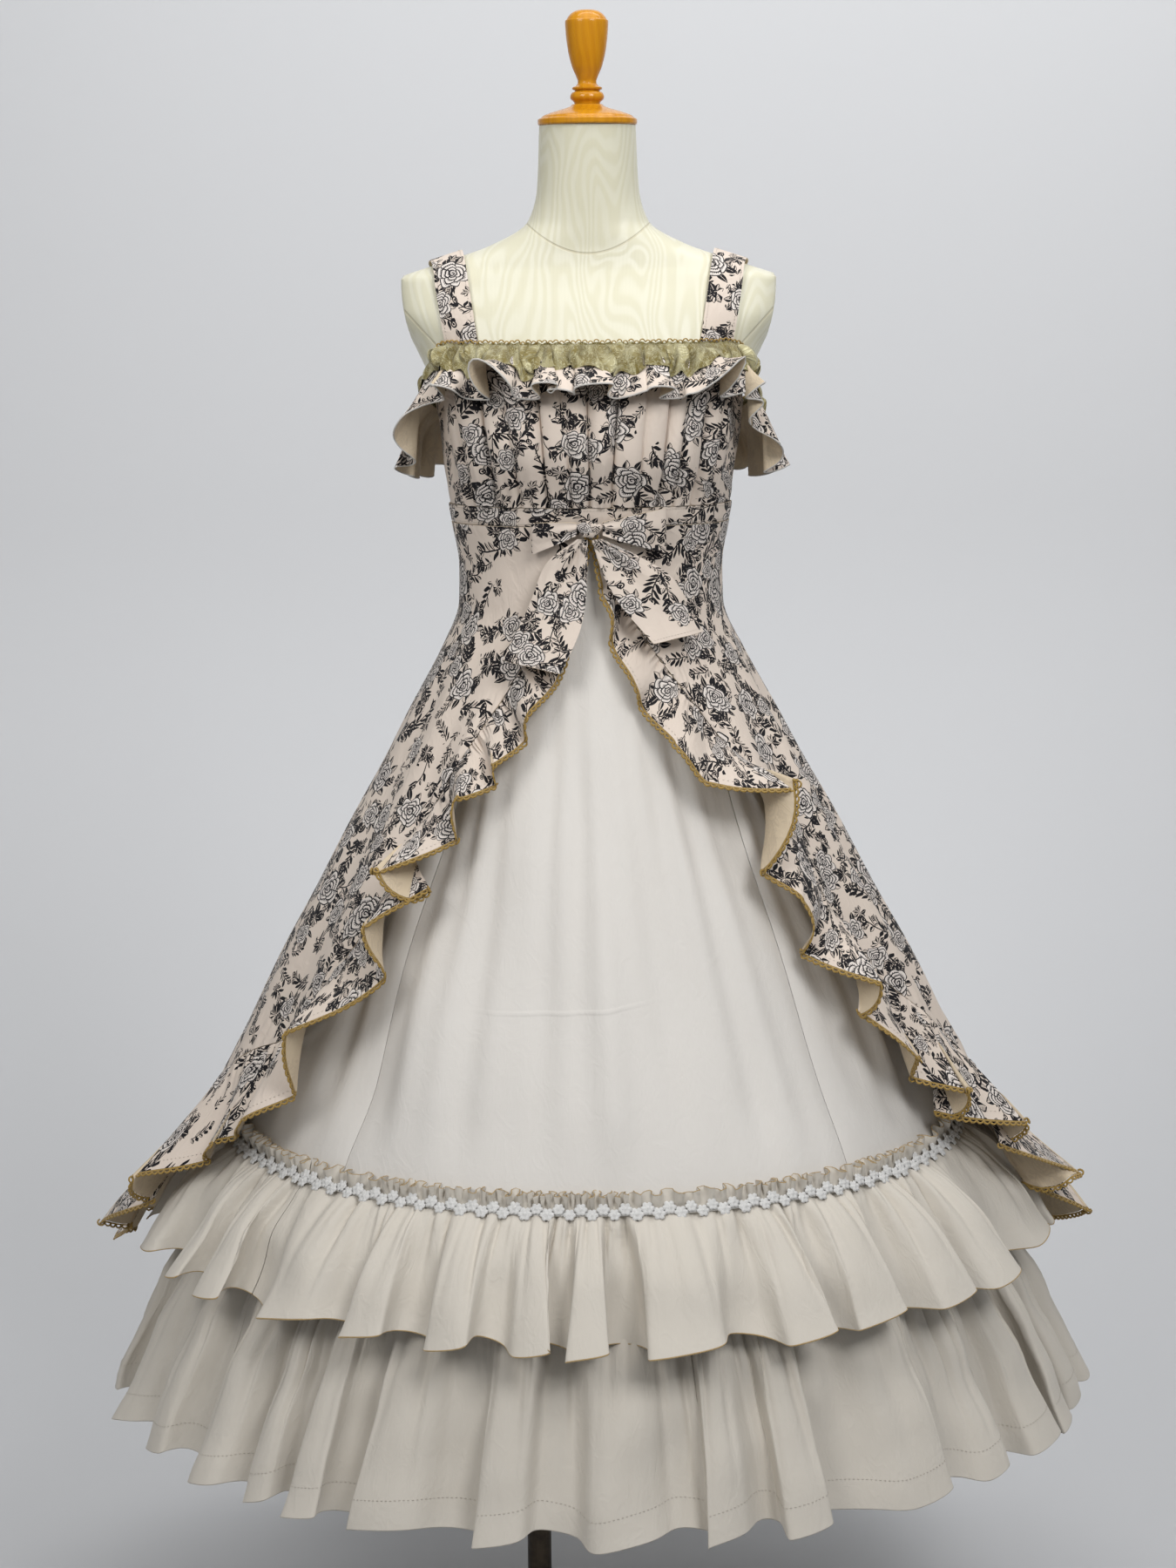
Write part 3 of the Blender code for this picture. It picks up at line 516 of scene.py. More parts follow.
weaveGroup = makeWeave()
creaseGroup = makeCreases()
printGroup = makePrint(makeRose(), makeLeaves(), makeSprig())


# finishes

finishes = {
    "floralGround": (0.650, 0.555, 0.470),
    "floralPale": (0.700, 0.610, 0.530),
    "petalTone": (0.715, 0.665, 0.620),
    "shadeTone": (0.230, 0.200, 0.195),
    "ink": (0.007, 0.006, 0.008),
    "reverse": (0.600, 0.480, 0.325),
    "reversePale": (0.630, 0.535, 0.400),
    "ghost": (0.430, 0.350, 0.260),
    "ivory": (0.705, 0.680, 0.640),
    "ivoryWarm": (0.665, 0.632, 0.585),
    # the tiers: the ivory cotton painted darker and warmer, as painted shade for the tiers hanging low and
    # in their folds
    "tierPaintedShadePale": (0.640, 0.600, 0.535),
    "tierPaintedShadeWarm": (0.600, 0.552, 0.475),
    # the gold lace's dark and pale: its thread and worked flowers, and also the painted shade and painted
    # highlight of its puffs
    "goldThreadAndShade": (0.205, 0.160, 0.034),
    "goldPaleAndHighlight": (0.70, 0.655, 0.395),
    "goldNet": (0.16, 0.12, 0.03),
    "silk": (0.715, 0.695, 0.560),
    "silkDark": (0.610, 0.580, 0.410),
    "silkSeam": (0.40, 0.32, 0.16),
    "wood": (0.60, 0.255, 0.006),
    "woodDark": (0.40, 0.135, 0.002),
    "woodGlow": (0.78, 0.40, 0.02),
    "metal": (0.045, 0.036, 0.028),
    "metalWorn": (0.10, 0.078, 0.055),
    # the one pressed line across the underskirt's front: where it lies, and how it slopes and sags
    "pressedLine": {"height": 0.777, "slope": 0.10, "sag": 0.6, "middle": -0.03, "half": 0.105},
    # the form's seams: round the neck's foot, and slanting by each arm plate
    "neckSeam": {"height": 1.4825, "dip": 8.0, "top": 1.52},
    "plateSeam": {"x": 0.1406, "height": 1.3856, "slant": 0.95, "low": 1.34, "high": 1.43},
}


def newMaterial(name, roughness, sheen=0.0, metallic=0.0, coat=0.0):
    made = bpy.data.materials.new(name)
    made.use_nodes = True
    shader = made.node_tree.nodes["Principled BSDF"]
    shader.inputs["Roughness"].default_value = roughness
    shader.inputs["Metallic"].default_value = metallic
    if sheen:
        shader.inputs["Sheen Weight"].default_value = sheen
        shader.inputs["Sheen Roughness"].default_value = 0.45
    if coat:
        shader.inputs["Coat Weight"].default_value = coat
        shader.inputs["Coat Roughness"].default_value = 0.08
    return made, made.node_tree, shader


def clothPlace(tree):
    node = tree.nodes.new("ShaderNodeUVMap")
    node.uv_map = "cloth"
    return wire(tree, node.outputs[0])


def objectPlace(tree):
    return wire(tree, tree.nodes.new("ShaderNodeTexCoord").outputs["Object"])


def raised(tree, shader, height, depth, strength=1.0):
    node = tree.nodes.new("ShaderNodeBump")
    node.inputs["Distance"].default_value = depth
    node.inputs["Strength"].default_value = strength
    join(tree, height, node.inputs["Height"])
    tree.links.new(node.outputs["Normal"], shader.inputs["Normal"])


def clothMaterial(name, kind):
    made, tree, shader = newMaterial(name, 0.78, sheen=0.08)
    shader.inputs["Specular IOR Level"].default_value = 0.22
    place = clothPlace(tree)
    weave = useGroup(weaveGroup, tree, Cloth=place, Thread=0.00045)
    crease = useGroup(creaseGroup, tree, Cloth=place)["Height"]
    tone = weave["Tone"]
    if kind in ("floral", "reverse"):
        drawn = useGroup(printGroup, tree, Cloth=place)
    if kind == "floral":
        colour = mixed(tone, finishes["floralGround"], finishes["floralPale"])
        colour = mixed(drawn["Petals"] * 0.8, colour, finishes["petalTone"])
        colour = mixed(drawn["Shade"] * 0.34, colour, finishes["shadeTone"])
        colour = mixed(drawn["Ink"], colour, finishes["ink"])
        join(tree, 0.70 + tone * 0.16 - drawn["Ink"] * 0.06, shader.inputs["Roughness"])
    elif kind == "reverse":
        colour = mixed(tone, finishes["reverse"], finishes["reversePale"])
        colour = mixed(drawn["Ink"] * 0.30, colour, finishes["ghost"])
        join(tree, 0.76 + tone * 0.12, shader.inputs["Roughness"])
    else:
        # painted shade: the tiers take the darker, warmer copy of the ivory
        shades = ("tierPaintedShadeWarm", "tierPaintedShadePale") if kind == "tier" else ("ivoryWarm", "ivory")
        colour = mixed(tone, finishes[shades[0]], finishes[shades[1]])
        join(tree, 0.70 + tone * 0.16, shader.inputs["Roughness"])
    join(tree, colour, shader.inputs["Base Color"])
    height = weave["Height"] * 0.06 + crease * {"ivory": 0.42, "tier": 0.70}.get(kind, 1.0)
    if kind == "ivory":
        press = finishes["pressedLine"]
        ox, oy, oz = parts(objectPlace(tree))
        off = maths("ABSOLUTE", oz - press["height"] - press["slope"] * ox - press["sag"] * ox * ox)
        within = fade(maths("ABSOLUTE", ox - press["middle"]), press["half"], 0.03)
        height = height + fade(off, 0.0030, 0.0004) * (oy < 0.0) * within * 0.24
    raised(tree, shader, height, 0.0022, 0.75)
    return made


def goldLaceMaterial():
    # fine net with paler flowers in it, and loose paler and darker patches painted on as the puffs'
    # highlights and shade
    made, tree, shader = newMaterial("goldLace", 0.5, sheen=0.25)
    place = clothPlace(tree)
    x, y, _ = parts(place)
    net = maths("SINE", (x + y) * 3600) * maths("SINE", (x - y) * 3600)
    flower = noise(scaled(place, 150, 150), 1.0, 2.0, 0.5, 1.5)
    # painted highlight and painted shade: loose patches, paler and darker, stand in for the light and shade
    # on the lace's puffs
    cloud = noise(scaled(place, 75, 42), 1.0, 2.0, 0.6, 0.6)
    petal = fade(maths("ABSOLUTE", flower - 0.5), 0.05, 0.015)
    flowersAndPaintedPuffs = petal * 0.45 + fade(cloud, 0.42, 0.66) * 0.55
    colour = mixed(flowersAndPaintedPuffs, finishes["goldThreadAndShade"], finishes["goldPaleAndHighlight"])
    colour = mixed(fade(net, 0.0, 0.7) * 0.35, colour, finishes["goldNet"])
    join(tree, colour, shader.inputs["Base Color"])
    join(tree, 0.62 - petal * 0.18, shader.inputs["Roughness"])
    raised(tree, shader, petal + net * 0.3, 0.0005)
    return made


def threadMaterial(name, dark, pale, roughness, pitch=0.0009):
    # twisted thread: a slanting ply and uneven tone
    made, tree, shader = newMaterial(name, roughness, sheen=0.2)
    place = objectPlace(tree)
    x, y, z = parts(place)
    ply = maths("SINE", (x + y + z * 1.4) * (2 * math.pi / pitch))
    tone = noise(place, 420.0, 2.0)
    colour = mixed(fade(ply * 0.5 + tone, 0.0, 1.1), dark, pale)
    join(tree, colour, shader.inputs["Base Color"])
    join(tree, roughness - 0.08 + tone * 0.16, shader.inputs["Roughness"])
    raised(tree, shader, ply * 0.5 + tone, 0.00025)
    return made


def silkMaterial():
    # watered silk: fine upright cords whose watermark closes into long loops
    made, tree, shader = newMaterial("wateredSilk", 0.40, sheen=0.15)
    place = clothPlace(tree)
    x = parts(place)[0]
    field = noise(scaled(place, 19, 5.0), 1.0, 1.5, 0.45, 0.35)
    water = maths("SINE", field * 95 + x * 420)
    cords = maths("SINE", x * (2 * math.pi / 0.0011))
    broad = noise(scaled(place, 9, 3), 1.0, 2.0)
    mark = fade(water, -0.9, 0.9)
    colour = mixed(mark * 0.44 + broad * 0.30, finishes["silk"], finishes["silkDark"])
    ox, _, oz = parts(objectPlace(tree))
    neck, plate = finishes["neckSeam"], finishes["plateSeam"]
    neckSeam = oz - neck["height"] - neck["dip"] * ox * ox
    neckSeam = fade(maths("ABSOLUTE", neckSeam), 0.0017, 0.0005) * (oz < neck["top"])
    plateSeam = maths("ABSOLUTE", ox) - plate["x"] - (oz - plate["height"]) * plate["slant"]
    plateSeam = fade(maths("ABSOLUTE", plateSeam), 0.0020, 0.0006)
    plateSeam = plateSeam * (oz > plate["low"]) * (oz < plate["high"])
    seam = most(neckSeam, plateSeam)
    colour = mixed(seam * 0.30, colour, finishes["silkSeam"])
    join(tree, colour, shader.inputs["Base Color"])
    join(tree, 0.34 + mark * 0.16, shader.inputs["Roughness"])
    raised(tree, shader, mark * 0.35 + cords * 0.12 - seam * 1.5, 0.0005, 0.6)
    return made


def woodMaterial():
    made, tree, shader = newMaterial("honeyWood", 0.26, coat=0.3)
    shader.inputs["Specular IOR Level"].default_value = 0.2
    place = objectPlace(tree)
    grain = noise(scaled(place, 150, 150, 14), 1.0, 4.0, 0.6, 0.8)
    figure = noise(scaled(place, 34, 34, 8), 1.0, 2.0)
    rings = fade(maths("SINE", parts(place)[0] * 900 + figure * 22), -0.8, 0.9)
    colour = mixed(grain * 0.55 + rings * 0.25, finishes["wood"], finishes["woodDark"])
    colour = mixed(figure * 0.30, colour, finishes["woodGlow"])
    join(tree, colour, shader.inputs["Base Color"])
    join(tree, 0.20 + grain * 0.14, shader.inputs["Roughness"])
    raised(tree, shader, grain, 0.0002, 0.4)
    return made


def metalMaterial():
    made, tree, shader = newMaterial("darkMetal", 0.4, metallic=0.85)
    place = objectPlace(tree)
    speck = noise(place, 900.0, 3.0)
    wear = noise(place, 26.0, 4.0, 0.6)
    colour = mixed(fade(wear, 0.45, 0.75), finishes["metal"], finishes["metalWorn"])
    join(tree, colour, shader.inputs["Base Color"])
    join(tree, 0.30 + speck * 0.12 + wear * 0.12, shader.inputs["Roughness"])
    raised(tree, shader, speck, 0.0002, 0.5)
    return made


def backdropPaper():
    made, tree, shader = newMaterial("backdropPaper", 0.9)
    place = objectPlace(tree)
    cloud = noise(place, 0.35, 2.0)
    pale = studio["backdropColour"]
    # painted shade: the sheet is painted a tenth darker, fading in from 0.9 m down to the floor
    cloudy, floor = (tuple(share * c for c in pale) for share in (0.92, 0.90))
    colour = mixed(fade(parts(place)[2], 0.9, 0.0), mixed(cloud, cloudy, pale), floor)
    join(tree, colour, shader.inputs["Base Color"])
    # the sheet is clear from behind, so that it never hides the dress's back
    behind = tree.nodes.new("ShaderNodeNewGeometry").outputs["Backfacing"]
    clear = tree.nodes.new("ShaderNodeBsdfTransparent")
    either = tree.nodes.new("ShaderNodeMixShader")
    finish = next(node for node in tree.nodes if node.type == "OUTPUT_MATERIAL")
    tree.links.new(behind, either.inputs[0])
    tree.links.new(shader.outputs[0], either.inputs[1])
    tree.links.new(clear.outputs[0], either.inputs[2])
    tree.links.new(either.outputs[0], finish.inputs["Surface"])
    return made


material = {
    "floral": clothMaterial("floralCotton", "floral"),
    "reverse": clothMaterial("floralReverse", "reverse"),
    "ivory": clothMaterial("ivoryCotton", "ivory"),
    # the tiers' ivory cotton, darkened with painted shade
    "tier": clothMaterial("tierCottonPaintedShade", "tier"),
    "goldLace": goldLaceMaterial(),
    "goldBraid": threadMaterial("goldBraid", (0.31, 0.175, 0.022), (0.60, 0.395, 0.085), 0.5),
    "whiteLace": threadMaterial("whiteLace", (0.80, 0.79, 0.765), (0.97, 0.965, 0.94), 0.75),
    "ivoryThread": threadMaterial("ivoryThread", (0.46, 0.40, 0.32), (0.72, 0.68, 0.60), 0.7),
    "hemThread": threadMaterial("hemThread", (0.45, 0.28, 0.09), (0.66, 0.50, 0.27), 0.7),
    "paleRoll": threadMaterial("paleRoll", (0.60, 0.56, 0.50), (0.78, 0.76, 0.72), 0.75),
    "seamThread": threadMaterial("seamThread", (0.16, 0.12, 0.09), (0.34, 0.28, 0.22), 0.8),
    "silk": silkMaterial(),
    "wood": woodMaterial(),
    "metal": metalMaterial(),
}
setCamera()
setStudio()
print("studio and finishes ready")


# mesh helpers


def addPiece(name, mesh, finish, replaced=()):
    for each in finish:
        mesh.materials.append(material[each])
    made = bpy.data.objects.new(name, mesh)
    scene.collection.objects.link(made)
    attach(made, "root")
    if replaced:
        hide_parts(*replaced)
    return made


def setUv(mesh, place):
    layer = mesh.uv_layers.new(name="cloth")
    at = np.empty(len(mesh.loops), dtype=np.int32)
    mesh.loops.foreach_get("vertex_index", at)
    layer.data.foreach_set("uv", place[at].ravel())


def lengthsAlong(points, axis):
    step = np.linalg.norm(np.diff(points, axis=axis), axis=-1)
    start = np.zeros_like(np.take(step, [0], axis=axis))
    return np.concatenate([start, np.cumsum(step, axis=axis)], axis=axis)


def plainPlace(points, row=None, origin=(0.0, 0.0)):
    # flat cloth: across along one row (or along each), down along the middle column
    across, down = lengthsAlong(points, 1), lengthsAlong(points, 0)
    if row is None:
        across = across - across[:, across.shape[1] // 2][:, None]
    else:
        across = across[row][None, :] + 0 * across
    down = np.median(down, axis=1)[:, None] + 0 * down
    return np.stack([across + origin[0], -down + origin[1]], -1)


def conePlace(points, angle, opening, origin):
    # flat cloth of a flared piece: a sector of a ring
    start = np.hypot(points[0, :, 0], points[0, :, 1]).mean() / opening
    turn = np.radians(angle) * opening
    reach = start + lengthsAlong(points, 0)
    return np.stack([reach * np.sin(turn) + origin[0], -reach * np.cos(turn) + origin[1]], -1)


def normals(points):
    n = np.cross(np.gradient(points, axis=0), np.gradient(points, axis=1))
    return n / np.maximum(np.linalg.norm(n, axis=-1, keepdims=True), 1e-12)


def outwards(mesh, merge=None):
    # every face turned to look outwards, after doubled points are joined
    shell = bmesh.new()
    shell.from_mesh(mesh)
    if merge:
        bmesh.ops.remove_doubles(shell, verts=shell.verts, dist=merge)
    bmesh.ops.recalc_face_normals(shell, faces=shell.faces)
    shell.to_mesh(mesh)
    shell.free()


def ringsRound(path, side, up, radius, turn):
    # a ring of points round each point of a path
    across = side[:, None] * np.cos(turn)[None, :, None]
    return path[:, None] + radius * (across + up[:, None] * np.sin(turn)[None, :, None])


def clothPiece(name, points, place, finish, slot, replaced, lift=0.0, thickness=clothThickness):
    # rows run down and columns towards the wearer's left, so the right side faces outwards
    rows, cols = points.shape[:2]
    out = normals(points)
    outer, inner = points + out * lift, points + out * (lift - thickness)
    verts = np.concatenate([outer.reshape(-1, 3), inner.reshape(-1, 3)])
    at = np.arange(rows * cols).reshape(rows, cols)
    face = np.stack([at[:-1, :-1], at[1:, :-1], at[1:, 1:], at[:-1, 1:]], -1).reshape(-1, 4)
    under = face[:, ::-1] + rows * cols
    border = np.concatenate([at[0, :], at[1:, -1], at[-1, -2::-1], at[-2:0:-1, 0]])
    after = np.roll(border, -1)
    rim = np.stack([border, after, after + rows * cols, border + rows * cols], -1)
    mesh = bpy.data.meshes.new(name)
    mesh.from_pydata(verts.tolist(), [], np.concatenate([face, under, rim]).tolist())
    setUv(mesh, np.concatenate([place.reshape(-1, 2)] * 2).astype(np.float32))
    if len(finish) > 1:
        turned = np.ones(len(mesh.polygons), dtype=np.int32)
        turned[: len(face)] = 0
        mesh.polygons.foreach_set("material_index", turned)
    mesh.shade_smooth()
    mesh.set_sharp_from_angle(angle=math.radians(78))
    return addPiece(name, mesh, finish, replaced)


def floralPiece(name, points, place, node, **more):
    return clothPiece(name, points, place, ("floral", "reverse"), "floral_cotton", (node,), **more)


def declare(points, restsOn, rectangle=True):
    # the flat cut's free edge length, and its steps down and across where it isn't a rectangle, are worked
    # out but not kept
    across = lengthsAlong(points, 1)[:, -1]
    width = float(across.max())
    if rectangle:
        width = min(width, 1.15 * float(across.mean()))  # a wavy edge isn't cut as long as its waves
        return
    down, across = np.diff(points, axis=0)[:, :-1], np.diff(points, axis=1)[:-1]


def edgeRoll(name, points, row, radius, finish):
    # a narrow rolled edge along one row of a cloth, closed at both ends
    sides = 4
    path = points[row] - normals(points)[row] * 0.0005
    ahead = np.gradient(path, axis=0)
    ahead /= np.linalg.norm(ahead, axis=1, keepdims=True)
    side = np.cross(ahead, np.tile([0.0, 0.0, 1.0], (len(path), 1)))
    side /= np.maximum(np.linalg.norm(side, axis=1, keepdims=True), 1e-9)
    turn = np.linspace(0, 2 * np.pi, sides, endpoint=False)
    ring = ringsRound(path, side, np.cross(side, ahead), radius, turn)
    at = np.arange(len(path) * sides).reshape(len(path), sides)
    beside = np.roll(at, -1, 1)
    face = np.stack([at[:-1], beside[:-1], beside[1:], at[1:]], -1).reshape(-1, 4).tolist()
    mesh = bpy.data.meshes.new(name)
    mesh.from_pydata(ring.reshape(-1, 3).tolist(), [], [*face, at[0][::-1].tolist(), at[-1].tolist()])
    outwards(mesh)
    mesh.shade_smooth()
    return addPiece(name, mesh, (finish,))


# Geometry Nodes: one small shape repeated along an edge


def makeRepeatTree():
    tree = bpy.data.node_groups.new("repeatAlongEdge", "GeometryNodeTree")
    face = tree.interface
    face.new_socket("Edge", in_out="INPUT", socket_type="NodeSocketGeometry")
    for title, kind, value in (
        ("Shape", "Object", None),
        ("Spacing", "Float", 0.005),
        ("Size", "Float", 1.0),
        ("Unevenness", "Float", 0.1),
        ("Stagger", "Float", 0.0),
        ("Seed", "Int", 7),
        ("Finish", "Material", None),
    ):
        socket = face.new_socket(title, in_out="INPUT", socket_type="NodeSocket" + kind)
        if value is not None:
            socket.default_value = value
    face.new_socket("Pieces", in_out="OUTPUT", socket_type="NodeSocketGeometry")
    nodes, links = tree.nodes, tree.links
    given, result = nodes.new("NodeGroupInput"), nodes.new("NodeGroupOutput")

    def add(kind, settings=(), **wired):
        node = nodes.new(kind)
        for key, value in dict(settings).items():
            setattr(node, key, value)
        for key, socket in wired.items():
            links.new(socket, node.inputs[key.replace("_", " ")])
        return node

    curve = add("GeometryNodeMeshToCurve", Mesh=given.outputs["Edge"])
    even = add("GeometryNodeResampleCurve", {"mode": "LENGTH"}, Curve=curve.outputs[0])
    links.new(given.outputs["Spacing"], even.inputs["Length"])
    tangent = nodes.new("GeometryNodeInputTangent")
    facing = nodes.new("GeometryNodeInputNamedAttribute")
    facing.data_type = "FLOAT_VECTOR"
    facing.inputs["Name"].default_value = "facing"
    facingOut = next(s for s in facing.outputs if s.enabled and s.type == "VECTOR")
    along = add("FunctionNodeAlignRotationToVector", {"axis": "X"}, Vector=tangent.outputs[0])
    turned = add("FunctionNodeAlignRotationToVector", {"axis": "Z", "pivot_axis": "X"}, Vector=facingOut)
    links.new(along.outputs[0], turned.inputs["Rotation"])
    index = nodes.new("GeometryNodeInputIndex")
    parity = add("ShaderNodeMath", {"operation": "MODULO"})
    links.new(index.outputs[0], parity.inputs[0])
    parity.inputs[1].default_value = 2.0
    centred = add("ShaderNodeMath", {"operation": "SUBTRACT"})
    links.new(parity.outputs[0], centred.inputs[0])
    centred.inputs[1].default_value = 0.5
    amount = add("ShaderNodeMath", {"operation": "MULTIPLY"})
    links.new(centred.outputs[0], amount.inputs[0])
    links.new(given.outputs["Stagger"], amount.inputs[1])
    beside = add("ShaderNodeVectorMath", {"operation": "CROSS_PRODUCT"})
    links.new(facingOut, beside.inputs[0])
    links.new(tangent.outputs[0], beside.inputs[1])
    shift = add("ShaderNodeVectorMath", {"operation": "SCALE"})
    links.new(beside.outputs[0], shift.inputs[0])
    links.new(amount.outputs[0], shift.inputs["Scale"])
    moved = nodes.new("GeometryNodeSetPosition")
    onPoints = nodes.new("GeometryNodeCurveToPoints")
    onPoints.mode = "EVALUATED"
    spread = add("FunctionNodeRandomValue", {"data_type": "FLOAT"})
    floats = [s for s in spread.inputs if s.enabled and s.type == "VALUE" and s.name in ("Min", "Max")]
    low = add("ShaderNodeMath", {"operation": "SUBTRACT"})
    low.inputs[0].default_value = 1.0
    links.new(given.outputs["Unevenness"], low.inputs[1])
    links.new(low.outputs[0], floats[0])
    floats[1].default_value = 1.0
    links.new(given.outputs["Seed"], spread.inputs["Seed"])
    size = add("ShaderNodeMath", {"operation": "MULTIPLY"})
    links.new(next(s for s in spread.outputs if s.enabled and s.type == "VALUE"), size.inputs[0])
    links.new(given.outputs["Size"], size.inputs[1])
    shape = add("GeometryNodeObjectInfo", Object=given.outputs["Shape"])
    # the turn and the shift are kept on the points before the curve is left
    keepTurn = nodes.new("GeometryNodeStoreNamedAttribute")
    keepTurn.data_type = "QUATERNION"
    keepTurn.inputs["Name"].default_value = "turn"
    links.new(even.outputs[0], keepTurn.inputs["Geometry"])
    links.new(turned.outputs[0], next(s for s in keepTurn.inputs if s.enabled and s.name == "Value"))
    links.new(keepTurn.outputs[0], moved.inputs["Geometry"])
    links.new(shift.outputs[0], moved.inputs["Offset"])
    links.new(moved.outputs[0], onPoints.inputs["Curve"])
    readTurn = nodes.new("GeometryNodeInputNamedAttribute")
    readTurn.data_type = "QUATERNION"
    readTurn.inputs["Name"].default_value = "turn"
    placed = nodes.new("GeometryNodeInstanceOnPoints")
    links.new(onPoints.outputs["Points"], placed.inputs["Points"])
    links.new(shape.outputs["Geometry"], placed.inputs["Instance"])
    links.new(next(s for s in readTurn.outputs if s.enabled), placed.inputs["Rotation"])
    links.new(size.outputs[0], placed.inputs["Scale"])
    real = add("GeometryNodeRealizeInstances", Geometry=placed.outputs[0])
    finish = add("GeometryNodeSetMaterial", Geometry=real.outputs[0], Material=given.outputs["Finish"])
    links.new(finish.outputs[0], result.inputs[0])
    return tree


repeatTree = makeRepeatTree()


def repeatAlong(name, path, facing, shape, spacing, finish, size, uneven=0.08, stagger=0.0, seed=7):
    rail = bpy.data.meshes.new(name + "Rail")
    rail.from_pydata([tuple(p) for p in path], [(k, k + 1) for k in range(len(path) - 1)], [])
    outs = rail.attributes.new("facing", "FLOAT_VECTOR", "POINT")
    outs.data.foreach_set("vector", np.asarray(facing, np.float32).ravel())
    holder = bpy.data.objects.new(name + "Rail", rail)
    scene.collection.objects.link(holder)
    modifier = holder.modifiers.new("repeat", "NODES")
    modifier.node_group = repeatTree
    values = {
        "Shape": shapes[shape],
        "Spacing": spacing,
        "Size": size,
        "Unevenness": uneven,
        "Stagger": stagger,
        "Seed": seed,
        "Finish": material[finish],
    }
    for item in repeatTree.interface.items_tree:
        if item.item_type == "SOCKET" and item.in_out == "INPUT" and item.name in values:
            modifier[item.identifier] = values[item.name]
    bpy.context.view_layer.update()
    result = holder.evaluated_get(bpy.context.evaluated_depsgraph_get())
    mesh = bpy.data.meshes.new_from_object(result)
    mesh.name = name
    holder.modifiers.remove(modifier)
    bpy.data.objects.remove(holder)
    mesh.materials.clear()
    for old in list(mesh.attributes):
        if old.name in ("facing", "turn"):
            mesh.attributes.remove(old)
    mesh.shade_smooth()
    return addPiece(name, mesh, (finish,))


def stitchLine(name, points, out, spacing, size):
    # a row of stitches just proud of the cloth
    return repeatAlong(name, points + out * 0.0002, out, "stitch", spacing, "ivoryThread", size)


def shapeFrom(name, verts, faces):
    mesh = bpy.data.meshes.new(name)
    mesh.from_pydata(verts, [], faces)
    outwards(mesh, 1e-7)
    made = bpy.data.objects.new(name, mesh)
    scene.collection.objects.link(made)
    return made


def threadShape(name, path, radius):
    # a short thick thread through a few points
    path, sides = np.asarray(path, float), 4
    count = len(path)
    ahead = np.gradient(path, axis=0)
    ahead /= np.linalg.norm(ahead, axis=1, keepdims=True)
    up = np.tile([0.0, 0.0, 1.0], (count, 1))
    side = np.cross(ahead, up)
    turn = np.linspace(0, 2 * np.pi, sides, endpoint=False) + np.pi / 4
    ring = ringsRound(path, side, up, radius, turn)
    faces = []
    for k in range(count - 1):
        for s in range(sides):
            t = (s + 1) % sides
            faces.append((k * sides + s, k * sides + t, (k + 1) * sides + t, (k + 1) * sides + s))
    faces += [tuple(range(sides))[::-1], tuple((count - 1) * sides + s for s in range(sides))]
    return shapeFrom(name, ring.reshape(-1, 3).tolist(), faces)


def picotShape():
    # one small scallop of braid, standing out in +Y from the edge
    turn = np.linspace(0, math.pi, 6)
    path = np.stack([0.0023 * np.cos(turn), 0.0004 + 0.0024 * np.sin(turn), 0 * turn], -1)
    return threadShape("picotShape", path, 0.00078)


def stitchShape():
    path = [(-0.0011, 0, -0.0002), (-0.0006, 0, 0.0002), (0.0006, 0, 0.0002), (0.0011, 0, -0.0002)]
    return threadShape("stitchShape", path, 0.00028)


def flowerShape():
    # a lace flower: six flat rounded petals round a small knot
    verts, faces = [(0.0, 0.0, 0.0021)], []
    count, knot, edge = 24, 0.002, 0.0061
    rings = ((0.0010, 0.0019), (0.0015, 0.0011), (0.0036, 0.0015), (0.0060, 0.0011), (edge, 0.0004))
    for reach, height in rings:
        for k in range(count):
            turn = 2 * math.pi * k / count
            lobe = abs(math.cos(3 * turn)) ** 0.5
            swell = 0.76 + 0.24 * lobe if reach > knot else 1.0
            lift = height - (0.0007 * (1 - lobe) if knot < reach < edge else 0)
            verts.append((reach * swell * math.cos(turn), reach * swell * math.sin(turn), lift))
    for k in range(count):
        n = (k + 1) % count
        faces.append((0, 1 + k, 1 + n))
        for first in range(1, 4 * count, count):
            faces.append((first + k, first + count + k, first + count + n, first + n))
    faces.append(tuple(1 + 4 * count + k for k in range(count))[::-1])
    return shapeFrom("flowerShape", verts, faces)


shapes = {"picot": picotShape(), "stitch": stitchShape(), "flower": flowerShape()}


# the dress form

formCover = {
    "sections": columns(
        "height halfWidth front back square",
        (0.880, 0.140, 0.085, 0.100, 0.95),
        (0.893, 0.156, 0.100, 0.114, 0.95),
        (0.960, 0.165, 0.106, 0.119, 0.95),
        (1.060, 0.147, 0.098, 0.098, 0.98),
        (1.150, 0.1205, 0.084, 0.078, 1.00),
        (1.230, 0.133, 0.097, 0.086, 1.00),
        (1.300, 0.144, 0.119, 0.095, 0.94),
        (1.345, 0.152, 0.110, 0.099, 0.90),
        (1.392, 0.172, 0.092, 0.096, 0.86),
        (1.430, 0.190, 0.072, 0.084, 0.84),
        (1.458, 0.190, 0.052, 0.066, 0.84),
        (1.472, 0.155, 0.044, 0.060, 0.86),
        (1.492, 0.096, 0.041, 0.060, 0.92),
        (1.514, 0.060, 0.041, 0.062, 1.00),
        (1.545, 0.0505, 0.042, 0.060, 1.00),
        (1.607, 0.0475, 0.045, 0.050, 1.00),
    ),
    "armPlate": columns("height reach", (1.300, 0.150), (1.364, 0.166), (1.455, 0.185), (1.607, 0.185)),
    "round": 160,
    # the mesh's rows: from, to and step, finer over the shoulders, then the top
    "rows": ((0.880, 1.36, 0.012), (1.362, 1.607, 0.0036)),
    "top": 1.607,
}


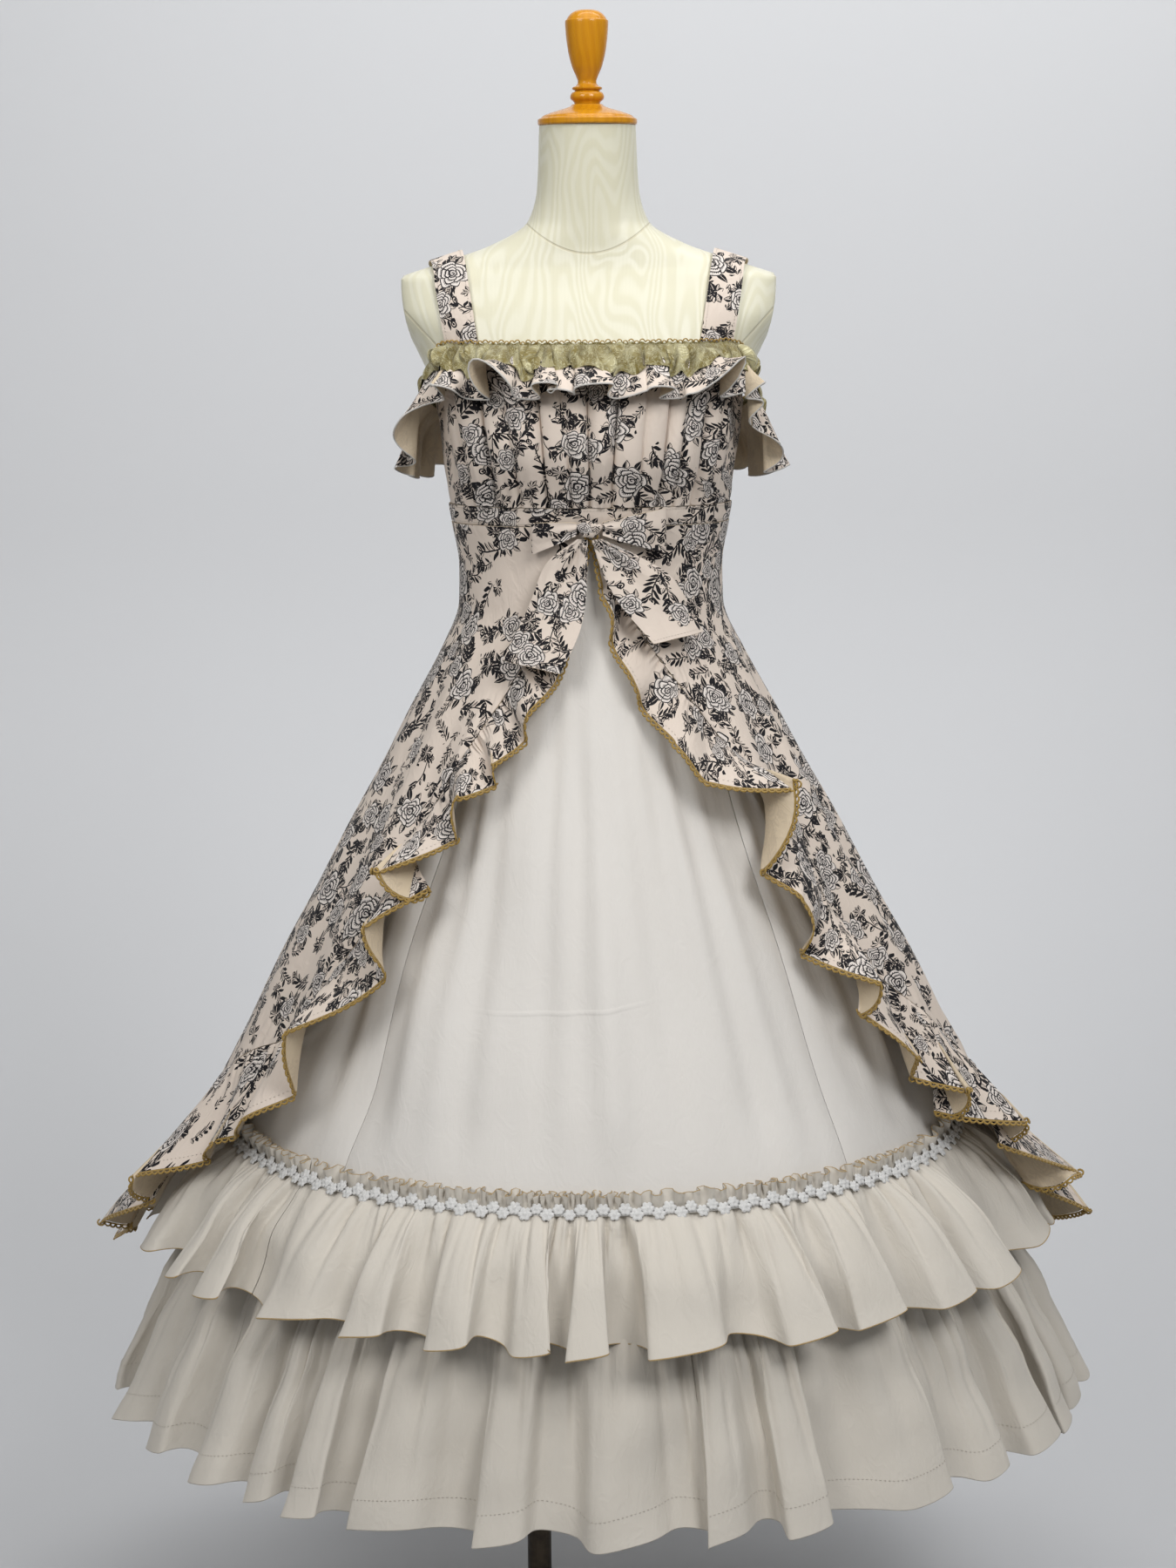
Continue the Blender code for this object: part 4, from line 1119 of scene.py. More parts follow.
def onForm(angle, height, lift=0.0):
    table = formCover["sections"]
    points = section(
        angle,
        height,
        curveThrough(table, "halfWidth", height) + lift,
        curveThrough(table, "front", height) + lift,
        curveThrough(table, "back", height) + lift,
        curveThrough(table, "square", height),
    )
    reach = curveThrough(formCover["armPlate"], "reach", height) + lift
    points[..., 0] = np.clip(points[..., 0], -reach, reach)
    return points


def makeForm():
    heights = np.concatenate([*(np.arange(*rows) for rows in formCover["rows"]), [formCover["top"]]])
    angles = np.linspace(-180, 180, formCover["round"] + 1)
    angle, height = np.meshgrid(angles, heights[::-1])
    points = onForm(angle, height)
    rows, cols = points.shape[0], len(angles) - 1
    at = np.arange(rows * cols).reshape(rows, cols)
    right = np.roll(at, -1, 1)
    face = np.stack([at[:-1], at[1:], right[1:], right[:-1]], -1).reshape(-1, 4).tolist()
    face += [at[0].tolist(), at[-1][::-1].tolist()]
    mesh = bpy.data.meshes.new("formCover")
    mesh.from_pydata(points[:, :-1].reshape(-1, 3).tolist(), [], face)
    across = lengthsAlong(points, 1)
    across = across - across[:, cols // 2][:, None]
    down = np.median(lengthsAlong(points, 0), axis=1)[:, None] + 0 * across
    place = np.stack([across, -down], -1)[:, :-1].reshape(-1, 2)
    setUv(mesh, place.astype(np.float32))
    mesh.shade_smooth()
    mesh.set_sharp_from_angle(angle=math.radians(40))
    addPiece("formCover", mesh, ("silk",), ("form_body",))
    shell = bmesh.new()
    shell.from_mesh(mesh)
    tree = BVHTree.FromBMesh(shell)
    shell.free()
    return tree


turnedWood = {
    "cap": columns(
        "height radius",
        (1.6073, 0.0470), (1.6080, 0.0484), (1.6095, 0.0490), (1.6125, 0.0490), (1.6137, 0.0480),
        (1.6142, 0.0466), (1.6165, 0.0440), (1.6200, 0.0350), (1.6240, 0.0215), (1.6262, 0.0162),
        (1.6275, 0.0150),
    ),
    "finial": columns(
        "height radius",
        (1.6278, 0.0125), (1.6290, 0.0128), (1.6305, 0.0138), (1.6325, 0.0161), (1.6345, 0.0168),
        (1.6368, 0.0163), (1.6390, 0.0148), (1.6400, 0.0124), (1.6405, 0.0118), (1.6412, 0.0130),
        (1.6424, 0.0147), (1.6437, 0.0147), (1.6447, 0.0130), (1.6453, 0.0114), (1.6480, 0.0093),
        (1.6500, 0.0092), (1.6540, 0.0106), (1.6640, 0.0148), (1.6800, 0.0187), (1.6980, 0.0208),
        (1.7060, 0.0212), (1.7080, 0.0210), (1.7088, 0.0198), (1.7100, 0.0192), (1.7150, 0.0150),
        (1.7172, 0.0110), (1.7180, 0.0080),
    ),
    "around": 72,
    "inner": 64,
}


def turnedPiece(name, profile, replaced):
    low, high = profile["height"][0], profile["height"][-1]
    inner = np.linspace(low, high, turnedWood["inner"])
    heights = np.unique(np.round(np.concatenate([profile["height"], inner]), 5))
    radii = curveThrough(profile, "radius", heights)
    around = turnedWood["around"]
    verts, faces = [], []
    for height, radius in zip(heights, radii):
        for k in range(around):
            turn = 2 * math.pi * k / around
            verts.append((radius * math.cos(turn), radius * math.sin(turn), height))
    for r in range(len(heights) - 1):
        for k in range(around):
            n = (k + 1) % around
            faces.append((r * around + k, r * around + n, (r + 1) * around + n, (r + 1) * around + k))
    faces.append(tuple(range(around))[::-1])
    faces.append(tuple((len(heights) - 1) * around + k for k in range(around)))
    mesh = bpy.data.meshes.new(name)
    mesh.from_pydata(verts, [], faces)
    mesh.shade_smooth()
    mesh.set_sharp_from_angle(angle=math.radians(50))
    addPiece(name, mesh, ("wood",), (replaced,))


formSurface = makeForm()
turnedPiece("neckCap", turnedWood["cap"], "neck_cap")
turnedPiece("finialTop", turnedWood["finial"], "finial")
for node in ("stand_base", "stand_pole"):
    for each in bpy.data.objects[node].material_slots:
        each.material = material["metal"]
print("form and stand done")


# bodice, band and straps

bodice = {
    "neckline": 1.392,
    "underarm": 1.338,
    "backNeckline": 1.328,
    "bandTop": 1.238,
    "bandBottom": 1.220,
    "pleatReach": 60.0,
    # where the deep folds run, and how deep and wide they are, in degrees and metres
    "folds": columns(
        "angle depth width lean",
        (-53, 0.0060, 2.4, 1.0),
        (-41, 0.0125, 2.4, -1.0),
        (-29, 0.0055, 2.0, 1.5),
        (-15.5, 0.0125, 2.3, -2.0),
        (-8, 0.0060, 1.8, 1.0),
        (-1, 0.0105, 1.9, 0.5),
        (9, 0.0125, 2.1, -0.5),
        (18, 0.0055, 1.8, 1.5),
        (26.5, 0.0125, 2.3, 1.0),
        (35, 0.0065, 2.0, -1.0),
        (43.5, 0.0120, 2.4, 1.5),
        (54, 0.0060, 2.4, 0.0),
    ),
    "rows": 40,
    "seamAngle": math.degrees(seamGap / 0.13),  # a seam's gap as an angle on the figure
    # each row: piece, node, start and end angle, degrees between columns, how held, place in the print
    "pieces": (
        ("bodiceFront", "bodice_front", -86, 86, 0.52, "gathered", (0.0, 0.0)),
        ("bodiceBackLeft", "bodice_back_left", 86, 180, 2.2, "stretched", (0.9, 0.3)),
        ("bodiceBackRight", "bodice_back_right", -180, -86, 2.2, "stretched", (1.7, 0.5)),
    ),
    "bands": (
        ("bandFront", "band_front", -90, 90, (0.31, 0.11)),
        ("bandBack", "band_back", 90, 270, (2.3, 0.2)),
    ),
    "bandMesh": (150, 9),
    "bandLift": 0.0072,
    "stitchSpacing": 0.0032,
    "stitchSize": 0.8,
}


def bodiceTop(angle):
    away = np.abs(np.asarray(angle, float))
    fall = ramp(away, 50, 84) * (bodice["neckline"] - bodice["underarm"])
    return bodice["neckline"] - fall - ramp(away, 88, 116) * (bodice["underarm"] - bodice["backNeckline"])


def onBodice(angle, share):
    top = bodiceTop(angle)
    height = top + (bodice["bandTop"] + 2 * seamGap - top) * share
    ease = 0.0030 + 0.0026 * ramp(share, 0, 0.3)
    front = ramp(bodice["pleatReach"] + 8 - np.abs(angle), 0, 14)
    swell = ramp(share, 0.04, 0.36) * (1 - 0.50 * ramp(share, 0.72, 1.0))
    lift = ease + 0.0085 * front * swell
    shift = 0 * lift
    for k, (centre, depth, width, lean) in enumerate(zip(*bodice["folds"].values())):
        off = (angle - centre - lean * (share - 0.5)) / width
        strength = ramp(share, 0.02, 0.30) * (1 - 0.35 * ramp(share, 0.80, 1.0))
        lift = lift - depth * np.exp(-np.abs(off) ** 1.4) * strength
        way = 1 if k % 3 else -1  # the cloth beside a fold lips over it
        shift = shift + way * 0.95 * width * (depth / 0.0125) * bump(off, -0.85 * way, 0.75) * strength
    turn = np.radians(angle)
    gathers = np.sin(turn * 92 + 1.7 * np.sin(turn * 7)) * 0.0011
    gathers = gathers * front * (ramp(share, 0.62, 1.0) + 0.7 * ramp(share, 0.30, 0.0))
    rumple = 0.0011 * crumple(turn * 0.14, height, 5, 0.05) * ramp(share, 0, 0.2) * ramp(share, 1.0, 0.85)
    lift = lift + gathers + rumple
    # the deepest folds level off before they reach the form
    shallow, soft = 0.0035, 0.0013
    low = shallow - soft + soft * np.exp((np.minimum(lift, shallow) - shallow) / soft)
    return onForm(angle + shift, height, np.where(lift < shallow, low, lift))


def makeBodice():
    gap = bodice["seamAngle"]
    for name, node, start, end, spacing, held, origin in bodice["pieces"]:
        angles = np.linspace(start + gap, end - gap, int((end - start) / spacing) + 1)
        points = onBodice(*np.meshgrid(angles, np.linspace(0, 1, bodice["rows"])))
        piece = floralPiece(name, points, plainPlace(points, None, origin), node)
        declare(points, ["form_body"], False)


def topStitch(name, points, out):
    return stitchLine(name, points, out, bodice["stitchSpacing"], bodice["stitchSize"])


def makeBand():
    gap = bodice["seamAngle"]
    for name, node, start, end, origin in bodice["bands"]:
        across, down = bodice["bandMesh"]
        angle, share = np.meshgrid(np.linspace(start + gap, end - gap, across), np.linspace(0, 1, down))
        height = bodice["bandTop"] + (bodice["bandBottom"] - bodice["bandTop"]) * share
        ripple = 0.00025 * np.sin(np.radians(angle) * 70 + 2 * np.sin(np.radians(angle) * 5))
        points = onForm(angle, height, bodice["bandLift"] + 0.0006 * np.sin(np.pi * share) + ripple)
        piece = floralPiece(name, points, plainPlace(points, None, origin), node, thickness=stripThickness)
        out = normals(points)
        trims = [topStitch(f"{name}Stitch{k}", points[row], out[row]) for k, row in enumerate((1, down - 2))]
        declare(points, ["form_body"], True)


straps = {
    "width": 0.0315,
    # where the middle lies at the front, over the top and at the back
    "middle": (0.122, 0.143, 0.088),
    "hub": 1.385,
    "rows": 72,
    "across": 13,
    "pieces": (
        ("strapLeft", "strap_left", 1, (3.34, 0.04)),
        ("strapRight", "strap_right", -1, (3.97, 0.54)),
    ),
}


def strapPoint(x, share):
    # where a ray from the shoulder's hub meets the form, moved out to clear it
    hub = Vector((x, 0.0, straps["hub"]))
    start = math.atan2(bodice["neckline"] + seamGap + 0.0002 - hub.z, 0.1)
    end = math.pi + math.atan2(hub.z - bodice["backNeckline"] - seamGap - 0.0002, 0.1)
    turn = start + (end - start) * share
    ray = Vector((0, -math.cos(turn), math.sin(turn)))
    hit, normal, _, _ = formSurface.ray_cast(hub + ray * 0.4, -ray)
    point = hit + normal * (layerStep + 0.0008 + 0.0042 * math.sin(math.pi * share))
    if share in (0.0, 1.0):
        point.z = (bodice["backNeckline"] if share else bodice["neckline"]) + 3 * seamGap
    return point


def makeStraps():
    for name, node, side, origin in straps["pieces"]:
        grid = []
        for share in np.linspace(0, 1, straps["rows"]):
            middle = side * np.interp(share, (0, 0.5, 1), straps["middle"])
            row = []
            for across in np.linspace(-0.5, 0.5, straps["across"]):
                crown = 0.0006 * math.cos(math.pi * across)
                point = strapPoint(middle + across * straps["width"], float(share))
                row.append(point + Vector((0, -crown if share < 0.5 else crown, 0)))
            grid.append(row)
        points = np.array(grid)[::-1]
        for _ in range(3):  # the form's own facets are smoothed out of the strap
            points[1:-1] = 0.25 * points[:-2] + 0.5 * points[1:-1] + 0.25 * points[2:]
        piece = floralPiece(name, points, plainPlace(points, None, origin), node, thickness=stripThickness)
        out, trims = normals(points), []
        for k, column in enumerate((1, straps["across"] - 2)):
            trims.append(topStitch(f"{name}Stitch{k}", points[:, column], out[:, column]))
        declare(points, ["form_body"], False)


makeBodice()
makeBand()
makeStraps()
print("bodice done")


# frill and gold lace at the neckline

neckFrill = {
    "waves": 22,
    "width": 0.052,
    "laceShare": 0.50,
    "perWave": 30,
    "rows": 17,
    "seams": (62, -62),
    # the flips that stand out most: how far, in degrees from hanging, and how broad round the figure
    "flips": columns(
        "angle swing breadth",
        (-47, 40, 4.0), (-25, 74, 5.0), (-6, 34, 3.5), (13, 30, 4.0), (37, 74, 5.0), (52, 40, 3.5),
    ),
    "laceRows": np.concatenate([[-0.35, -0.15], np.linspace(0, 1, 11)]),
    "laceThickness": 0.0006,
    "picotSpacing": 0.0058,
    "picotSize": 1.05,
}


def neckPhase(angle):
    turn = np.radians(angle)
    return neckFrill["waves"] * turn + 1.5 * np.sin(4 * turn + 0.4) + 0.8 * np.sin(11 * turn + 1.9)


def trough(phase, near, reach=12):
    # a valley beside the angle asked for, where a seam can lie flat
    dense = np.linspace(near - reach, near + reach, 2001)
    depth = -np.sin(phase(dense)) - 0.2 * np.abs(dense - near) / reach
    return float(dense[np.argmax(depth)])


def evenly(phase, start, end, perWave, fine=6000):
    dense = np.linspace(start, end, fine)
    value = phase(dense)
    count = max(int(abs(value[-1] - value[0]) / (2 * np.pi) * perWave), 8)
    return np.interp(np.linspace(value[0], value[-1], count), value, dense)


def foldWave(phase, box=1.1):
    # broad rounded crests with narrower valleys between
    return np.tanh(box * (np.sin(phase) + 0.25)) / np.tanh(box * 1.25)


def onNeckFrill(angle, share, flips=1.0):
    away = np.abs(angle)
    side = ramp(away, 48, 80) * (1 - 0.6 * ramp(away, 100, 140))
    phase = neckPhase(angle)
    crest = 0.5 + 0.5 * foldWave(phase, 0.7)
    swing = chance(phase, neckFrill["waves"], 15, 14, 52) * (1 - 0.35 * side) * crest
    for centre, widest, breadth in zip(*neckFrill["flips"].values()):
        swing = np.maximum(swing, widest * bump(angle, centre, breadth))
    swing = np.radians((8 + flips * swing) * np.abs(share) ** 0.25)
    lean = chance(phase, neckFrill["waves"], 21, -1.0, 1.0)
    sway = -0.0050 * np.sin(2 * phase + 0.3) + 0.0070 * lean * np.sin(phase)
    skew = np.degrees(flips * share**0.8 * sway / 0.15)
    strip = neckFrill["width"] * (0.92 + 0.46 * side) * share
    height = bodiceTop(angle) - 0.0012 - strip * np.cos(swing)
    out = 0.0044 + 0.0060 * ramp(share, 0, 0.25) + 0.015 * side * ramp(share, -0.35, 0.55)
    out = out + strip * np.sin(swing)
    fine = 0.0011 * np.sin(3.7 * phase + 1.1) * ramp(share, 0.6, 0.05) * ramp(share, 0, 0.08)
    return onForm(angle + skew, height, out + fine)


def onNeckLace(angle, share):
    # puffed between its gathers, ending in small scallops above the seam
    turn = np.radians(angle)
    reach = neckFrill["laceShare"] * (1 - 0.6 * ramp(np.abs(angle), 44, 72))
    reach = reach * (1 + 0.16 * np.sin(15.9 * turn) + 0.10 * np.sin(37 * turn))
    points = onNeckFrill(angle, np.maximum(share, 0) * reach, 0.85)
    phase = neckPhase(angle)
    puff = np.sin(np.pi * np.clip(share, 0, 1)) ** 0.8
    tuck = chance(2.7 * phase, 61, 4, 0.2, 1.2)
    ripple = 0.0054 * puff * tuck * (1 + np.sin(2.7 * phase + 0.8)) + 0.0024 * puff * np.sin(5.1 * phase)
    out = normals(points)
    points = points + out * (layerStep + 0.0008 + ripple + 0.0010 * ramp(share, 0.7, 1.0))[..., None]
    scallop = np.abs(np.sin(60 * turn))
    points[..., 2] += 0.003 * ramp(-share, -0.3, 0) + np.maximum(-share, 0) * 0.012 * (0.5 + 0.5 * scallop)
    points[..., 2] += 0.0024 * ramp(share, 0.8, 1.0) * np.cos(70 * turn + 2 * np.sin(9 * turn))
    return points


def makeNeckFrill():
    left, right = (trough(neckPhase, angle) for angle in neckFrill["seams"])
    gap = 1.5 * bodice["seamAngle"]
    for title, node, start, end, origin in (
        ("Front", "front", right, left, 0.2),
        ("Left", "left", left, 180, 1.9),
        ("Right", "right", -180, right, 3.3),
    ):
        angles = evenly(neckPhase, start + gap, end - gap, neckFrill["perWave"])
        points = onNeckFrill(*np.meshgrid(angles, np.linspace(0, 1, neckFrill["rows"])))
        place = plainPlace(points, -1, (origin, 0.9))
        piece = floralPiece("neckFrill" + title, points, place, "neck_frill_" + node)
        roll = edgeRoll("neckFrillRoll" + title, points, -1, 0.0009, "paleRoll")
        declare(points, ["form_body"], True)
        lace = onNeckLace(*np.meshgrid(angles, neckFrill["laceRows"]))
        piece = clothPiece(
            "neckLace" + title, lace, plainPlace(lace, -1, (origin, 0.0)), ("goldLace",), "gold_lace",
            ("neck_lace_" + node,), thickness=neckFrill["laceThickness"],
        )
        heading = repeatAlong(
            "laceHeading" + title, lace[0] + (0, 0, -0.0004), normals(lace)[0], "picot",
            neckFrill["picotSpacing"], "goldBraid", neckFrill["picotSize"], seed=5,
        )
        declare(lace, ["form_body"], True)


makeNeckFrill()
print("neck frill done")


# skirts

skirts = {
    "outline": columns(
        "height under over frontShare backShare",
        (0.450, 0.430, 0.500, 0.98, 1.01),
        (0.530, 0.388, 0.463, 0.98, 1.01),
        (0.600, 0.369, 0.411, 0.97, 1.00),
        (0.680, 0.332, 0.368, 0.96, 0.99),
        (0.800, 0.277, 0.307, 0.93, 0.95),
        (1.000, 0.184, 0.200, 0.85, 0.85),
        (1.090, 0.144, 0.153, 0.79, 0.77),
        (1.140, 0.1268, 0.1330, 0.745, 0.700),
        (1.175, 0.1268, 0.1322, 0.740, 0.680),
        (1.221, 0.1345, 0.1395, 0.755, 0.680),
    ),
    # how far down an even row lies on a long column that has to follow the waist
    "rowsAtWaist": columns(
        "even long",
        (0.00, 0.000), (0.16, 0.065), (0.32, 0.135), (0.48, 0.225), (0.66, 0.430), (0.83, 0.700),
        (1.00, 1.000),
    ),
    "gatherLine": 0.608,
    "headingTop": 0.6240,
    "underEnd": 0.536,
    "gores": (
        ("underskirtFront", "underskirt_front", -42, 42),
        ("underskirtSideLeft", "underskirt_side_left", 42, 104),
        ("underskirtSideRight", "underskirt_side_right", -104, -42),
        ("underskirtBackLeft", "underskirt_back_left", 104, 180),
        ("underskirtBackRight", "underskirt_back_right", -180, -104),
    ),
    "underRows": 66,
    "underStep": 1.35,
    "overRows": 58,
    # closer columns at the front, where the slanting edge is seen
    "overColumns": np.concatenate([np.linspace(2, 75, 132), np.linspace(76.2, 179.9, 72)]),
    # how far a whole turn opens when the cloth is laid flat, and its length for each metre of height
    "opening": 0.36,
    "slant": 1.12,
}
skirtTop = bodice["bandBottom"] - 2 * seamGap

overskirtEdge = columns(
    "angle left right flounce",
    (2.0, 1.2140, 1.2140, 0.04),
    (8.0, 1.1850, 1.1850, 0.20),
    (16.0, 1.1400, 1.1400, 0.42),
    (26.0, 1.0900, 1.0850, 0.62),
    (38.0, 1.0350, 1.0050, 0.85),
    (46.0, 0.9800, 0.9200, 1.00),
    (52.0, 0.9150, 0.8150, 1.06),
    (57.0, 0.8450, 0.7600, 1.18),
    (63.0, 0.7850, 0.7250, 1.28),
    (71.0, 0.7350, 0.7050, 1.48),
    (79.0, 0.7050, 0.6750, 1.68),
    (89.0, 0.6650, 0.6400, 2.02),
    (98.0, 0.6150, 0.6000, 2.04),
    (110.0, 0.5750, 0.5650, 1.80),
    (135.0, 0.5450, 0.5400, 1.45),
    (180.0, 0.5350, 0.5350, 1.40),
)


def flute(angle, count, shift):
    turn = np.radians(angle)
    drift = 0.8 * np.sin(3 * turn + shift) + 0.5 * np.sin(5 * turn + 2 * shift)
    return np.sin(count * turn + drift) * (0.75 + 0.25 * np.sin(2 * turn + 3 * shift))


def spaceBetween(height):
    # from the underskirt out to the overskirt
    table = skirts["outline"]
    return curveThrough(table, "over", height) - curveThrough(table, "under", height)


def onSkirt(layer, angle, height, lift=0.0):
    table, space = skirts["outline"], spaceBetween(height)
    if layer == "under":
        free = ramp(height, 1.15, 1.0) * ramp(height, 0.64, 0.80)
        lift = lift + 0.12 * space * flute(angle, 14, 0.7) * free
    else:
        free = ramp(height, 1.18, 1.0) * (0.15 + 0.85 * ramp(height, 0.53, 0.64))
        lift = lift + 0.30 * space * flute(angle, 17, 2.1) * free
    half = curveThrough(table, layer, height)
    front, back = (half * curveThrough(table, name, height) for name in ("frontShare", "backShare"))
    return section(angle, height, half + lift, front + lift, back + lift)


def makeUnderskirt():
    heights = skirtTop + (skirts["underEnd"] - skirtTop) * np.linspace(0, 1, skirts["underRows"])
    for number, (name, node, start, stop) in enumerate(skirts["gores"]):
        count = int((stop - start) / skirts["underStep"]) + 1
        across, height = np.meshgrid(np.linspace(0, 1, count), heights)
        gap = np.degrees(seamGap / curveThrough(skirts["outline"], "under", height))
        angle = start + gap + (stop - start - 2 * gap) * across
        free = ramp(height, 1.10, 0.92) * ramp(height, 0.615, 0.70)
        pinch = 0.0022 * (bump(across, 0, 0.012) + bump(across, 1, 0.012)) * ramp(height, 1.2, 1.0)
        creased = 0.0048 * crumple(np.radians(angle) * 0.42, height * 0.30, 17, 0.055)
        lift = free * (0.20 * spaceBetween(height) * flute(angle, 9, 1.3) + creased) - pinch
        points = onSkirt("under", angle, height, lift)
        place = conePlace(points, angle - 0.5 * (start + stop), skirts["opening"], (number * 1.3, 0.0))
        piece = clothPiece(name, points, place, ("ivory",), "ivory_cotton", (node,))
        declare(points, ["band_front", "band_back"], False)


def edgeHeight(angle, side):
    return curveThrough(overskirtEdge, "left" if side > 0 else "right", angle, "angle")


def overskirtHeight(angle, share, side):
    length = skirtTop - edgeHeight(angle, side)
    waisted = curveThrough(skirts["rowsAtWaist"], "long", share, "even")
    return skirtTop - length * (share + (waisted - share) * ramp(length, 0.05, 0.45))


def overRumple(angle, height):
    # the overskirt's soft unevenness
    free = ramp(height, 1.17, 1.02)
    return free * 0.0013 * crumple(np.radians(angle) * 0.28, height, 29, 0.09)


def makeOverskirt():
    angle, share = np.meshgrid(skirts["overColumns"], np.linspace(0, 1, skirts["overRows"]))
    for title, node, side in (("Left", "left", 1), ("Right", "right", -1)):
        height = overskirtHeight(angle, share, side)
        length = bodice["bandBottom"] - edgeHeight(angle, side)
        # short gathers beside the flounce's seam
        near = ramp((1 - share) * length, 0.045, 0.0) * ramp(length, 0.05, 0.3)
        puckers = np.sin(np.radians(angle) * 120 + height * 80 + 2 * np.sin(np.radians(angle) * 31))
        gather = 0.0020 * near * puckers * ramp(share, 1.0, 0.985)
        rumple = overRumple(side * angle, height) * ramp(share, 1.0, 0.95)
        points = onSkirt("over", side * angle, height, rumple + gather)
        place = conePlace(points, side * angle, skirts["opening"], (0.5 + side * 0.03, 2.0))
        if side < 0:
            points, place = points[:, ::-1], place[:, ::-1]
        piece = floralPiece("overskirt" + title, points, place, "overskirt_" + node)
        declare(points, ["band_front", "band_back"], False)


flounce = {
    "width": 0.066,
    "droop": 0.45,
    "tuckIn": 0.029,
    "perWave": 32,
    "rows": 15,
    # the braid's rows, in metres past the free edge, and its thickness and loops
    "braid": (1.5 * seamGap, 0.0009, 0.0016),
    "braidThickness": 0.0015,
    "picotSpacing": 0.0070,
    "picotSize": 1.50,
    # where each wave stands out on the wearer's left and right, and how far it opens
    "waves": columns(
        "left right leftOpen rightOpen",
        (2.0, 2.0, 0.10, 0.10),
        (8.0, 9.0, 0.25, 0.20),
        (14.0, 17.0, 0.52, 0.25),
        (24.0, 28.0, 0.26, 0.42),
        (34.0, 34.5, 0.24, 0.46),
        (44.5, 38.5, 1.10, 0.62),
        (53.0, 44.8, 0.40, 0.84),
        (57.5, 47.6, 0.54, 0.62),
        (63.0, 54.0, 0.44, 0.74),
        (69.0, 62.0, 0.56, 0.42),
        (74.5, 69.0, 0.52, 0.36),
        (86.0, 79.0, 0.60, 0.50),
        (96.0, 90.0, 0.50, 0.50),
        (105.0, 101.0, 0.40, 0.36),
        (114.5, 111.5, 0.70, 0.80),
        (122.0, 120.0, 0.95, 0.80),
        (131.0, 129.0, 0.90, 1.05),
        (139.0, 138.0, 1.05, 0.75),
        (147.5, 146.0, 0.70, 0.95),
        (155.5, 155.0, 0.95, 0.85),
        (164.0, 163.0, 0.85, 1.00),
        (172.0, 171.5, 0.95, 0.80),
        (180.0, 180.0, 0.60, 0.60),
    ),
}


def seamFrame(angle, side):
    step = 0.25
    height = edgeHeight(angle, side)
    around = onSkirt("over", angle + step, height) - onSkirt("over", angle - step, height)
    metres = np.linalg.norm(around, axis=-1) / (2 * step)
    climb = (edgeHeight(angle + step, side) - edgeHeight(angle - step, side)) / (2 * step)
    slant = skirts["slant"] * climb / metres
    run = np.stack([np.ones_like(slant), slant]) / np.hypot(1, slant)
    droop = flounce["droop"] * (0.55 + 0.25 * ramp(angle, 52, 66))
    fall = np.stack([run[1], -run[0]]) * (1 - droop)
    fall[1] -= droop
    fall /= np.hypot(fall[0], fall[1])
    return height, metres, run, fall


def flounceWaves(angle, side):
    # the phase, a whole turn at each crest, and how far the cloth opens there
    name = "left" if side > 0 else "right"
    table = dict(flounce["waves"], count=np.arange(len(flounce["waves"][name]), dtype=float))
    count = curveThrough(table, "count", angle, name)
    return 2 * np.pi * count, curveThrough(table, name + "Open", count, "count")


def onFlounce(angle, share, side):
    height, metres, run, fall = seamFrame(angle, side)
    strip = flounce["width"] * curveThrough(overskirtEdge, "flounce", angle, "angle") * share
    phase, opened = flounceWaves(angle, side)
    crest = 0.5 + 0.5 * foldWave(phase + 0.5 * np.pi, 1.15)
    calm = 1 - 0.48 * ramp(angle, 74, 94)
    rest = chance(phase, 25, 13 if side > 0 else 19, 0.0, 0.30) * (1 - crest)
    swing = np.radians(5 + 82 * calm * (opened * crest + rest) * (0.80 + 0.20 * share))
    lean = chance(phase, 25, 31 if side > 0 else 57, -1.0, 1.0)
    sway = (-0.17 * np.sin(2 * phase) * opened + 0.18 * lean * np.cos(phase)) * strip
    sway = sway * ramp(180 - angle, 0, 8)
    reach = strip * np.cos(swing)
    lift = strip * np.sin(swing)
    turnedAngle = angle + (fall[0] * reach + run[0] * sway) / metres
    drop = (fall[1] * reach + run[1] * sway) / skirts["slant"] - 0.36 * lift * share
    settle = 0.45 * spaceBetween(height) * share * (1 - crest) * ramp(height, 0.64, 0.78)
    fine = 0.0024 * np.sin(8.3 * phase + 0.7) + 0.0018 * np.sin(3.3 * phase + 2.0)
    fine = fine * ramp(share, 0.50, 0.05) * ramp(share, 0, 0.05)
    fine = fine * ramp(strip / np.maximum(share, 0.01), 0.01, 0.04)
    # the free edge hangs closer to the figure at the sides
    tucked = flounce["tuckIn"] * share * ramp(angle, 48, 66) * (1 - 0.35 * ramp(angle, 120, 150))
    return onSkirt("over", side * turnedAngle, height + drop, lift - settle - tucked + fine)


